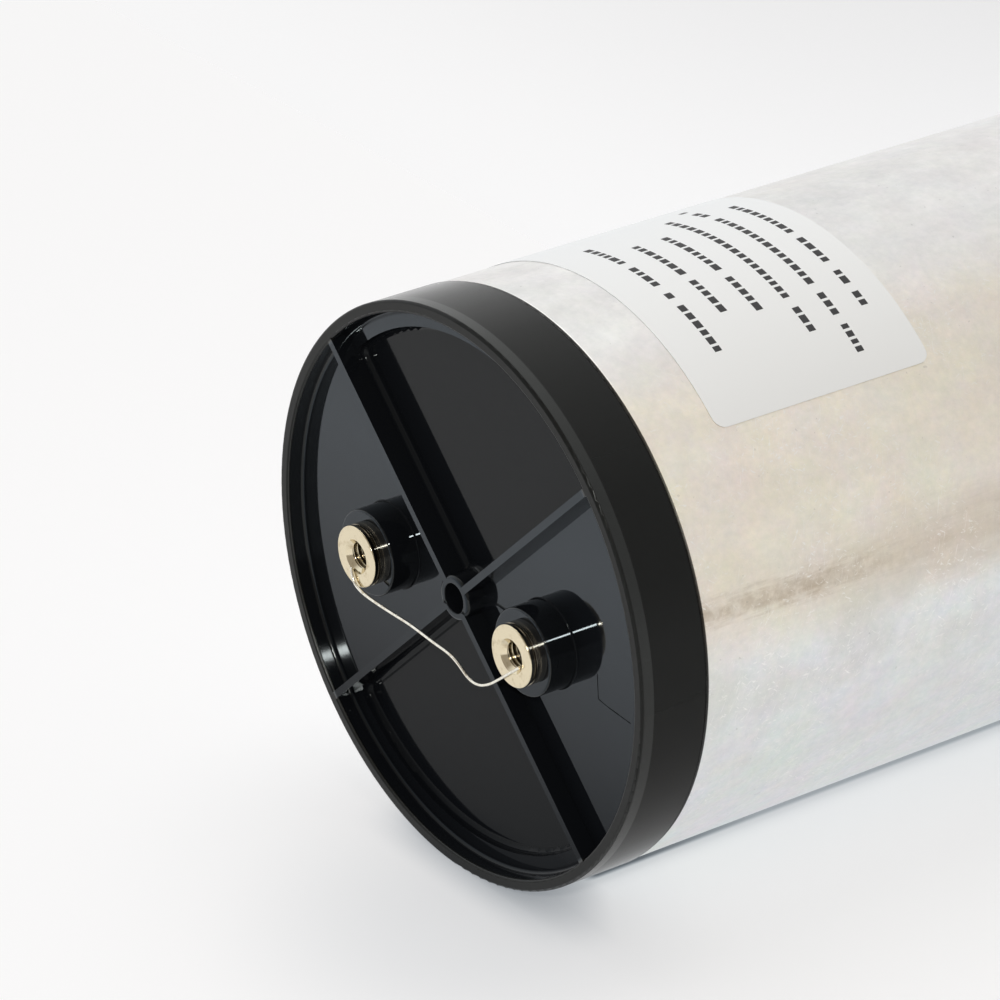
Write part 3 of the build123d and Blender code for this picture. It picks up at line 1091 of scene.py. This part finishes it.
@dataclass
class Can:
    """The deep-drawn can, from its flat bottom to the edge under the lid."""

    radius: float
    height: float
    wall: float = 1.2 * MM
    floor: float = 2.0 * MM
    heel: float = 3.0 * MM
    toe: float = 1.5 * MM
    shoulder: float = 0.9 * MM
    round_steps: int = 8
    toe_steps: int = 5
    segments: int = 256

    @classmethod
    def from_frame(cls) -> "Can":
        """Read the can's size from its CAD node."""
        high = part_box("can")[1]
        return cls(radius=high.x, height=high.z)

    def outline(self) -> list[Pair]:
        """Work out the can's section.

        Returns:
            (radius, height) points of the closed section.
        """
        bore = self.radius - self.wall
        heel_centre = (self.radius - self.heel, self.heel)
        shoulder_centre = (self.radius - self.shoulder, self.height - self.shoulder)
        toe_centre = (bore - self.toe, self.floor + self.toe)
        return [
            (0.0, 0.0),
            *arc(heel_centre, self.heel, -90, 0, self.round_steps),
            *arc(shoulder_centre, self.shoulder, 0, 90, self.round_steps),
            (bore, self.height),
            *arc(toe_centre, self.toe, 0, -90, self.toe_steps),
            (0.0, self.floor),
        ]

    def build(self) -> None:
        """Build and dress the can."""
        shape = bmesh.new()
        lathe(shape, self.outline(), (0.0, 0.0, 0.0), self.segments)
        piece = give(keep_mesh(shape, "drawn_can"), DrawnAluminium("drawn_aluminium"))
        settle(piece, "can_aluminium", "can")


@dataclass
class Lid:
    """The moulded lid, whose CAD form is shown as it is."""

    node: str = "lid"

    def build(self) -> None:
        """Dress the lid's CAD node."""
        piece = give(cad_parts[self.node], MouldedLid("moulded_lid"))
        log.info("node %s dressed", self.node)


@dataclass
class TerminalInsert:
    """One turned insert: its head, groove, mouth and internal thread."""

    node: str
    x: float
    face: float
    foot: float
    head_radius: float = 6.2 * MM
    barrel_radius: float = 5.5 * MM
    neck_radius: float = 4.9 * MM
    neck_drop: Pair = (6.5 * MM, 9.5 * MM)
    boss_drop: float = 18.0 * MM
    tail_radius: float = 3.0 * MM
    collar_radius: float = 3.9 * MM
    collar_height: float = 0.8 * MM
    boss_top: float = 192.5 * MM
    tool_rings: int = 5
    ring_width: float = 0.05 * MM
    ring_depth: float = 0.012 * MM
    groove_drop: float = 1.1 * MM
    groove_width: float = 0.25 * MM
    groove_depth: float = 0.3 * MM
    edge_round: float = 0.25 * MM
    core_radius: float = 2.5 * MM
    mouth_step: float = 0.05 * MM
    runout: float = 0.1 * MM
    ridge_overlap: float = 0.02 * MM
    coil_steps: int = 48
    thread_depth: float = 14.0 * MM
    drill_point: float = 1.4 * MM
    mouth_radius: float = 3.5 * MM
    pitch: float = 1.0 * MM
    ridge: float = 0.5 * MM
    segments: int = 96

    @classmethod
    def from_frame(cls, node: str) -> "TerminalInsert":
        """Read an insert's place from the CAD node of that name."""
        low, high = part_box(node)
        return cls(node=node, x=(low.x + high.x) / 2, face=high.z, foot=low.z)

    def thread_end(self) -> float:
        """Height at which the thread ends, below the mouth's cone."""
        return self.face - (self.mouth_radius - self.core_radius) - self.thread_depth

    def head_side(self) -> list[Pair]:
        """Outline of the head's outside, with its groove and fine tool rings.

        Returns:
            (radius, height) points from the boss up to the face.
        """
        side, groove_z = self.head_radius, self.face - self.groove_drop
        groove_low, groove_high = groove_z - self.groove_width, groove_z + self.groove_width
        points = [(side, self.boss_top)]
        for k in range(self.tool_rings):
            z = self.boss_top + (groove_low - self.boss_top) * (k + 0.5) / self.tool_rings
            low, high = z - self.ring_width, z + self.ring_width
            points += [(side, low), (side - self.ring_depth, z), (side, high)]
        flank = 0.6 * self.groove_width
        bottom = side - self.groove_depth
        points += [(side, groove_low), (bottom, groove_z - flank)]
        points += [(bottom, groove_z + flank), (side, groove_high)]
        edge_centre = (side - self.edge_round, self.face - self.edge_round)
        return points + arc(edge_centre, self.edge_round, 0, 90, 12)

    def outline(self) -> list[Pair]:
        """Work out the insert's section, with the bore at the thread's root.

        Returns:
            (radius, height) points of the closed section.
        """
        root = self.core_radius + self.ridge - self.ridge_overlap
        lip = self.core_radius + self.mouth_step
        cone_end = self.face - (self.mouth_radius - self.core_radius)
        neck_top, neck_end = (self.face - drop for drop in self.neck_drop)
        boss_end, collar_top = self.face - self.boss_drop, self.foot + self.collar_height
        bore = [(self.mouth_radius, self.face), (lip, cone_end), (root, cone_end - self.runout)]
        bore += [(root, self.thread_end()), (0.0, self.thread_end() - self.drill_point)]
        tail = [(0.0, self.foot), (self.collar_radius, self.foot), (self.collar_radius, collar_top)]
        tail += [(self.tail_radius, collar_top), (self.tail_radius, boss_end)]
        barrel = [(self.barrel_radius, z) for z in (boss_end, neck_end, neck_top, self.boss_top)]
        neck = [*barrel[:2], (self.neck_radius, neck_end), (self.neck_radius, neck_top), *barrel[2:]]
        return bore + tail + neck + self.head_side()

    def thread(self, finish: Finish) -> bpy.types.Object:
        """Build the thread's ridge as one long coil that ends under the mouth's cone.

        Args:
            finish: the insert's finish.

        Returns:
            The coil's mesh object.
        """
        recipe = Recipe(f"{self.node}_thread", finish)
        graph = recipe.graph
        radius = recipe.given("Root radius", self.core_radius + self.ridge)
        coil = graph.out(
            "GeometryNodeCurveSpiral",
            in_Resolution=self.coil_steps,
            in_Rotations=recipe.given("Turns", self.thread_depth / self.pitch),
            in_Height=recipe.given("Depth", self.thread_depth),
            in_Start_Radius=radius,
            in_End_Radius=radius,
        )
        coil = graph.out("GeometryNodeSetCurveNormal", mode="Z_UP", in_Curve=coil)
        height = recipe.given("Ridge", self.ridge)
        ridge = graph.out("GeometryNodeCurvePrimitiveCircle", in_Resolution=3, in_Radius=height)
        turned = graph.out("GeometryNodeTransform", in_Geometry=ridge, in_Rotation=(0.0, 0.0, math.pi))
        section = {"in_Profile_Curve": turned, "in_Fill_Caps": True}
        tube = graph.out("GeometryNodeCurveToMesh", in_Curve=coil, **section)
        low = (self.x, 0.0, self.thread_end())
        recipe.end(graph.out("GeometryNodeTransform", in_Geometry=tube, in_Translation=low))
        return recipe.bake(f"{self.node}_thread")

    def build(self) -> None:
        """Build and dress the insert with its thread."""
        finish = TurnedNickel(f"turned_nickel_{self.node}", centre=(self.x, 0.0, self.face))
        coil = self.thread(finish)
        shape = bmesh.new()
        lathe(shape, self.outline(), (self.x, 0.0, 0.0), self.segments)
        piece = give(keep_mesh(shape, f"turned_{self.node}", smooth_deg=10.0), finish)
        settle(join([piece, coil]), "plated_brass", self.node)


@dataclass
class ShortingWire:
    """The stiff tinned wire that lies across the two terminals."""

    spacing: float
    face: float
    diameter: float = 0.6 * MM

    def points(self) -> list[Point]:
        """Chosen points of the wire's route, in metres.

        Returns:
            The control points from the left mouth to the right one.
        """
        half = self.spacing / 2 / MM
        lift = self.face / MM
        route = [
            (-half - 1.15, -2.5, 0.33),
            (-half - 0.6, -4.9, 0.45),
            (-half + 1.4, -6.25, 0.5),
            (-19.6, -6.7, 0.5),
            (-13.0, -6.8, 0.4),
            (-6.0, -6.6, 0.45),
            (1.2, -7.05, 0.65),
            (6.6, -7.05, 0.75),
            (9.6, -8.2, 0.7),
            (12.3, -9.95, 0.6),
            (15.5, -10.1, 0.55),
            (19.0, -8.35, 0.55),
            (half - 2.7, -5.7, 0.55),
            (half + 0.6, -2.95, 0.45),
            (half + 3.0, -0.9, 0.3),
        ]
        return [(x * MM, y * MM, (lift + z) * MM) for x, y, z in route]

    def build(self) -> None:
        points = self.points()
        curve = bpy.data.curves.new("shorting_wire_curve", "CURVE")
        curve.dimensions = "3D"
        curve.bevel_depth = self.diameter / 2
        curve.bevel_resolution = 4
        curve.use_fill_caps = True
        line = curve.splines.new("NURBS")
        line.points.add(len(points) - 1)
        for knot, place in zip(line.points, points):
            knot.co = (*place, 1.0)
        line.order_u = 3
        line.use_endpoint_u = True
        line.resolution_u = 8
        piece = give(show("tinned_wire", curve), TinnedWire("tinned_wire"))
        settle(piece, "tinned_copper", "shorting_wire")


@dataclass
class RatingLabel:
    """The label film bent round the can, with rows of plain printed bars."""

    can_radius: float
    low: float
    high: float
    first_edge: float = math.radians(46.5)
    arc_width: float = 80.0 * MM
    thickness: float = 0.1 * MM
    lift: float = 0.05 * MM
    corner: float = 2.5 * MM
    corner_steps: tuple[float, ...] = (15, 30, 45, 60, 75)
    columns: int = 80
    ink_lift: float = 0.01 * MM
    ink: Colour = (0.03, 0.03, 0.032)
    row_pitch: float = 7.0 * MM
    row_widths: tuple[float, ...] = (42.0, 30.0, 30.0, 46.0, 60.0, 42.0)
    row_bearing: float = math.radians(82.0)
    first_row_drop: float = 9.5 * MM
    bar_height: float = 1.6 * MM
    bar_gap: float = 0.6 * MM
    bar_pitch: float = 2.1 * MM
    bar_lengths: Pair = (0.5, 1.0)
    blank_share: float = 0.16
    seed: int = 7

    @classmethod
    def from_frame(cls, can_radius: float) -> "RatingLabel":
        """Read the label's place on a can of some radius from its CAD node."""
        low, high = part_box("rating_label")
        return cls(can_radius=can_radius, low=low.z, high=high.z)

    def wrapped(self, across: float, height: float, radius: float) -> Vector:
        """Bend a point of the flat label round the can.

        Args:
            across: distance round the can from the label's middle.
            height: height on the can.
            radius: distance from the can's axis.

        Returns:
            The point.
        """
        middle = self.first_edge + self.arc_width / self.can_radius / 2
        angle = middle + across / self.can_radius
        return Vector((radius * math.cos(angle), radius * math.sin(angle), height))

    def column_places(self) -> list[float]:
        """Places across the label where its mesh has a column, closer together at the round corners.

        Returns:
            The places, from one edge to the other.
        """
        half = self.arc_width / 2
        places = [-half + self.arc_width * k / self.columns for k in range(self.columns + 1)]
        ends = [self.corner * (1 - math.cos(math.radians(a))) for a in self.corner_steps]
        places += [side * (half - e) for side in (-1, 1) for e in ends]
        return sorted(set(round(place, 8) for place in places))

    def film(self) -> bpy.types.Object:
        """Build the film with round corners.

        Returns:
            The film.
        """
        columns = self.column_places()
        shape = bmesh.new()
        loops: list[list[list[bmesh.types.BMVert]]] = []
        for radius in (self.can_radius + self.lift, self.can_radius + self.lift + self.thickness):
            loops.append([])
            for across in columns:
                inset = max(0.0, abs(across) - (self.arc_width / 2 - self.corner))
                cut = self.corner - math.sqrt(max(0.0, self.corner**2 - inset**2))
                heights = (self.low + cut, self.high - cut)
                loops[-1].append([shape.verts.new(self.wrapped(across, z, radius)) for z in heights])
        inner, outer = loops
        for k in range(len(columns) - 1):
            for sheet in (inner, outer):
                shape.faces.new((sheet[k][0], sheet[k + 1][0], sheet[k + 1][1], sheet[k][1]))
            for edge in (0, 1):
                shape.faces.new((inner[k][edge], inner[k + 1][edge], outer[k + 1][edge], outer[k][edge]))
        for k in (0, -1):
            shape.faces.new((inner[k][0], inner[k][1], outer[k][1], outer[k][0]))
        return give(keep_mesh(shape, "label_film"), LabelFilm("label_film"))

    def row_recipe(self) -> Recipe:
        """Write the tree of one printed row: bars of uneven length, end to end, bent round the can.

        Returns:
            The recipe, with seed, bar count, row width and row height as inputs.
        """
        recipe = Recipe("label_row", LabelFilm("print_ink", colour=self.ink, roughness=0.5, metal=0.0))
        graph = recipe.graph
        seed, count = recipe.given("Seed", self.seed), recipe.given("Bars", 5)
        width, gap = recipe.given("Row width", 42.0 * MM), recipe.given("Gap", self.bar_gap)
        low, high = self.bar_lengths
        drawn = graph.add("FunctionNodeRandomValue", data_type="FLOAT", in_2=low, in_3=high, in_Seed=seed)
        share = drawn.outputs[1]
        before = graph.add("GeometryNodeAccumulateField", data_type="FLOAT", domain="POINT", in_0=share)
        number = graph.out("GeometryNodeInputIndex")
        room = graph.minus(width, graph.times(gap, graph.minus(count, 1.0)))
        unit = graph.math("DIVIDE", room, before.outputs[2])
        length = graph.times(share, unit)
        middle = graph.times(before.outputs[1], unit, graph.times(length, 0.5))
        middle = graph.minus(graph.times(number, gap, middle), graph.times(width, 0.5))
        kept = graph.out(
            "GeometryNodeStoreNamedAttribute",
            data_type="FLOAT",
            domain="POINT",
            in_Geometry=graph.out("GeometryNodeMeshLine", in_Count=count),
            in_Name="bar_length",
            in_Value=length,
        )
        lined = graph.out("GeometryNodeSetPosition", in_Geometry=kept, in_Position=graph.point(middle))
        blank = graph.add(
            "FunctionNodeRandomValue", data_type="BOOLEAN", in_Probability=self.blank_share, in_Seed=seed
        ).outputs[3]
        shown = graph.out("GeometryNodeDeleteGeometry", in_Geometry=lined, in_Selection=blank)
        stored = graph.out("GeometryNodeInputNamedAttribute", data_type="FLOAT", in_Name="bar_length")
        tall = recipe.given("Bar height", self.bar_height)
        grid = {"in_Vertices_X": 5, "in_Vertices_Y": 2}
        placed = graph.out(
            "GeometryNodeInstanceOnPoints",
            in_Points=shown,
            in_Instance=graph.out("GeometryNodeMeshGrid", in_Size_X=1.0, in_Size_Y=tall, **grid),
            in_Scale=graph.point(stored, 1.0, 1.0),
        )
        real = graph.out("GeometryNodeRealizeInstances", in_0=placed)
        across, up, _ = graph.parts(graph.out("GeometryNodeInputPosition"))
        radius = recipe.given("Radius", self.can_radius + self.lift + self.thickness + self.ink_lift)
        turned = graph.math("DIVIDE", across, radius)
        angle = graph.minus(recipe.given("Middle bearing", self.row_bearing), turned)
        bent = graph.point(
            graph.times(radius, graph.math("COSINE", angle)),
            graph.times(radius, graph.math("SINE", angle)),
            graph.plus(up, recipe.given("Row height", self.high)),
        )
        recipe.end(graph.out("GeometryNodeSetPosition", in_Geometry=real, in_Position=bent))
        return recipe

    def print_bars(self) -> bpy.types.Object:
        """Build the printed rows.

        Returns:
            All rows as one piece.
        """
        recipe = self.row_recipe()
        rows = []
        for number, width in enumerate(self.row_widths):
            changes = {
                "Seed": self.seed + number,
                "Bars": max(2, round(width * MM / self.bar_pitch)),
                "Row_width": width * MM,
                "Row_height": self.high - self.first_row_drop - number * self.row_pitch,
            }
            rows.append(recipe.bake(f"label_row_{number}", **changes))
        rows[0].name = "label_print"
        return join(rows)

    def build(self) -> None:
        """Build and dress the label."""
        settle(self.film(), "label_film", "rating_label")
        settle(self.print_bars(), "label_film")


@dataclass
class Inside:
    """What the can holds: shown only when the can is opened, and dressed all the same."""

    nodes: dict[Inner, tuple[str, ...]] = field(
        default_factory=lambda: {
            Inner.PRESSBOARD: ("can_liner", "bottom_insulator", "top_insulator", "middle_spacer"),
            Inner.METALLISED_FILM: ("winding_lower", "winding_upper"),
            Inner.WRAP: ("wrap_film_lower", "wrap_film_upper"),
            Inner.CORE: ("core_tube_lower", "core_tube_upper"),
            Inner.SPRAYED_ZINC: tuple(
                f"end_spray_{winding}_{end}" for winding in ("lower", "upper") for end in ("bottom", "top")
            ),
            Inner.TINNED_COPPER: ("series_link", "lead_strip_left", "lead_strip_right"),
            Inner.SLEEVE: ("lead_sleeve",),
            Inner.RESIN: ("potting_resin",),
        }
    )

    def build(self) -> None:
        """Dress each inner CAD node."""
        for kind, names in self.nodes.items():
            for name in names:
                give(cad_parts[name], InnerFinish(f"inner_{kind.name.lower()}", kind=kind))
                log.info("node %s dressed", name)


# ---- studio ------------------------------------------------------------------------


@dataclass(frozen=True)
class StudioPaper(Finish):
    """Pale paper of the stage. It neither shades nor lights the part, and may show from its front only."""

    colour: Colour = (0.40, 0.40, 0.403)
    glow: float = 0.575
    roughness: float = 0.95
    one_sided: bool = False
    fade_start: float = 0.0
    fade_end: float = 1.0
    faded: float = 1.0
    contact: bool = False
    lit: Colour = (1.0, 1.0, 1.005)
    shaded: Colour = (0.80, 0.95, 1.10)
    off_side: float = -1.4
    core: float = 8.0 * MM
    reach: tuple[float, ...] = (172.0 * MM, 182.0 * MM, 27.0 * MM, 44.0 * MM)
    reach_end: Pair = (198.0 * MM, 184.0 * MM)
    reach_share: float = 0.50
    line_width: Pair = (20.9 * MM, 19.4 * MM)
    line_end: Pair = (174.0 * MM, 170.0 * MM)
    line_share: tuple[float, ...] = (130.0 * MM, 160.0 * MM, 0.36, 0.75)
    broad_centre: Pair = (22.0 * MM, 205.0 * MM)
    broad_edge: Pair = (55.0 * MM, 8.0 * MM)
    broad_share: float = 0.10

    def write(self, graph: ShaderGraph) -> None:
        """Write the paper, with its painted falloff and painted contact shade, and let light and other
        views through it.

        Args:
            graph: the material's tree.
        """
        across, away, height = graph.parts(graph.place)
        # Painted falloff: between fade_start and fade_end the paper darkens to faded, which makes the
        # floor paper darker towards +Y.
        far = graph.step(away, self.fade_start, self.fade_end)
        shade = self.contact_shade(graph, across, height) if self.contact else 1.0
        fade = graph.times(graph.times(far, self.faded - 1.0, 1.0), shade)
        graph.set(
            Base_Color=graph.scaled(self.colour, fade),
            Roughness=self.roughness,
            Specular_IOR_Level=0.0,
            Emission_Color=graph.blend(shade, self.shaded, self.lit),
            Emission_Strength=graph.times(fade, self.glow),
        )
        rays = graph.add("ShaderNodeLightPath").outputs
        solid = graph.math("MAXIMUM", rays["Is Camera Ray"], rays["Is Glossy Ray"])
        if self.one_sided:
            back = graph.add("ShaderNodeNewGeometry").outputs["Backfacing"]
            solid = graph.times(solid, graph.minus(1.0, back))
        clear = graph.out("ShaderNodeBsdfTransparent")
        mixed = graph.out("ShaderNodeMixShader", in_0=solid, in_1=clear, in_2=graph.shader.outputs[0])
        graph.feed(graph.output, "Surface", mixed)

    def contact_shade(self, graph: ShaderGraph, across: Socket, height: Socket) -> Socket:
        """Shade where the part all but touches the sheet, wider under the band than under the can.

        Args:
            graph: the material's tree.
            across: distance on the sheet from the part's middle.
            height: height on the sheet.

        Returns:
            The factor's socket, 1 where the sheet is clear.
        """
        off = graph.math("MAXIMUM", across, graph.times(across, self.off_side))
        reach = graph.span(height, *self.reach)
        share = graph.math("DIVIDE", graph.minus(reach, off), graph.minus(reach, self.core))
        wide = graph.times(graph.step(share, 0.0, 1.0), graph.step(height, *self.reach_end))
        line = graph.all_of(
            graph.step(off, *self.line_width),
            graph.step(height, *self.line_end),
            graph.span(height, *self.line_share),
        )
        from_x, from_z = (graph.minus(part, to) for part, to in zip((across, height), self.broad_centre))
        broad = graph.step(graph.length(graph.point(from_x, from_z)), *self.broad_edge)
        return graph.all_of(
            graph.less(wide, self.reach_share), graph.minus(1.0, line), graph.less(broad, self.broad_share)
        )


@dataclass(frozen=True)
class Lamp:
    """A round soft lamp: where it hangs from the part's middle, its width, brightness and colour."""

    name: str
    offset: Point
    size: float
    radiance: float
    colour: Colour = (1.0, 1.0, 1.0)

    def hang(self, aim: Vector) -> None:
        """Hang the lamp so that it faces the aim.

        Args:
            aim: the point that it faces.
        """
        data = bpy.data.lights.new(self.name, "AREA")
        data.shape, data.size, data.color = "DISK", self.size, self.colour
        data.energy = self.radiance * math.pi * math.pi * (self.size / 2) ** 2
        lamp = show(self.name, data)
        lamp.location = aim + Vector(self.offset)
        lamp.rotation_mode = "QUATERNION"
        lamp.rotation_quaternion = Vector(self.offset).to_track_quat("Z", "Y")


@dataclass
class Studio:
    """Camera, lights and a pale stage."""

    rim_height: float
    side: float
    target: Point = (0.014755, 0.026733, 0.0)
    bearing: float = math.radians(31.862)
    elevation: float = math.radians(31.9636)
    distance: float = 1.00241
    lens: float = 195.723
    span: float = 4.0
    sensor: float = 36.0
    clip: Pair = (0.05, 20.0)
    softbox: Lamp = Lamp("softbox", (-0.30, 1.25, -0.25), 1.1, 1.9, (1.0, 0.99, 0.98))
    softbox_aim: float = 0.6
    flash_turn: float = math.radians(6.5)
    flash_size: float = 0.06
    flash_radiance: float = 380.0
    flash_colour: Colour = (1.0, 0.985, 0.965)
    floor_fade_end: float = 0.12
    floor_faded: float = 0.76
    floor_glow: float = 0.663
    floor_colour: Colour = (0.378, 0.378, 0.381)
    room_axis: Point = (0.9, 0.3, 0.1)
    room_edge: Pair = (0.35, -0.6)
    dim_room: Colour = (0.37, 0.345, 0.315)
    bright_room: Colour = (1.00, 1.02, 1.05)
    seen_room: Colour = (0.93, 0.93, 0.935)

    def back(self) -> Vector:
        """Direction from the target to the camera."""
        flat = Vector((math.cos(self.bearing), math.sin(self.bearing), 0.0)) * math.cos(self.elevation)
        return flat + Vector((0.0, 0.0, math.sin(self.elevation)))

    def camera(self) -> None:
        """Place the camera, with the part's +Y upright in the picture."""
        data = bpy.data.cameras.new("camera")
        data.lens, data.sensor_width = self.lens, self.sensor
        data.clip_start, data.clip_end = self.clip
        camera = show("camera", data)
        back = self.back()
        up = (Vector((0, 1, 0)) - back * back.y).normalized()
        turn = Matrix((up.cross(back), up, back)).transposed()
        aim = Vector(self.target) + Vector((0, 0, self.rim_height))
        camera.matrix_world = Matrix.Translation(aim + back * self.distance) @ turn.to_4x4()
        bpy.context.scene.camera = camera

    def room(self) -> None:
        """Light the part from a bright backdrop on one side and a dim room on the camera's side."""
        world = bpy.data.worlds.new("studio")
        world.use_nodes = True
        graph = Graph(world.node_tree)
        away = graph.add("ShaderNodeTexCoord").outputs["Generated"]
        facing = graph.dot(away, tuple(Vector(self.room_axis).normalized()))
        light = graph.blend(graph.step(facing, *self.room_edge), self.dim_room, self.bright_room)
        seen = graph.add("ShaderNodeLightPath").outputs["Is Camera Ray"]
        graph.feed(graph.nodes["Background"], "Color", graph.blend(seen, light, self.seen_room))
        bpy.context.scene.world = world

    def lights(self) -> None:
        """Hang the overhead softbox and the small flash beside the camera."""
        self.softbox.hang(Vector((0, 0, self.rim_height * self.softbox_aim)))
        place = tuple(Matrix.Rotation(self.flash_turn, 3, "Z") @ self.back())
        flash = Lamp("flash", place, self.flash_size, self.flash_radiance, self.flash_colour)
        flash.hang(Vector((0, 0, self.rim_height)))

    def sheet(self, name: str, corners: list[Point], finish: Finish) -> None:
        """Lay one flat sheet of the stage.

        Args:
            name: the sheet's name.
            corners: its corners, anticlockwise seen from its front.
            finish: its paper.
        """
        mesh = bpy.data.meshes.new(name)
        mesh.from_pydata(corners, [], [tuple(range(len(corners)))])
        paper = give(show(name, mesh), finish)

    def stage(self) -> None:
        """Lay the floor that the part stands on and the sheet that its side rests on."""
        s, y = self.span, -self.side
        fade = {"fade_start": y, "fade_end": self.floor_fade_end, "faded": self.floor_faded}
        floor_paper = StudioPaper("floor_paper", colour=self.floor_colour, glow=self.floor_glow, **fade)
        side_paper = StudioPaper("side_paper", one_sided=True, contact=True)
        self.sheet("floor", [(-s, -s, 0), (s, -s, 0), (s, s, 0), (-s, s, 0)], floor_paper)
        self.sheet("side_sheet", [(-s, y, -s), (-s, y, s), (s, y, s), (s, y, -s)], side_paper)

    def build(self) -> None:
        """Set up the whole studio."""
        for part in (self.stage, self.lights, self.room, self.camera):
            part()
        bpy.context.scene.view_settings.view_transform = "Standard"


def main() -> None:
    """Build every piece in order."""
    logging.basicConfig(level=logging.INFO, format="%(message)s")
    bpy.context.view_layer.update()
    can = Can.from_frame()
    left, right = (TerminalInsert.from_frame(f"terminal_insert_{side}") for side in ("left", "right"))
    can.build()
    Lid().build()
    left.build()
    right.build()
    RatingLabel.from_frame(can.radius).build()
    ShortingWire(spacing=right.x - left.x, face=left.face).build()
    Inside().build()
    Studio(rim_height=left.face - FACE_ABOVE_RIM, side=BAND_RADIUS).build()


if __name__ == "__main__":
    main()
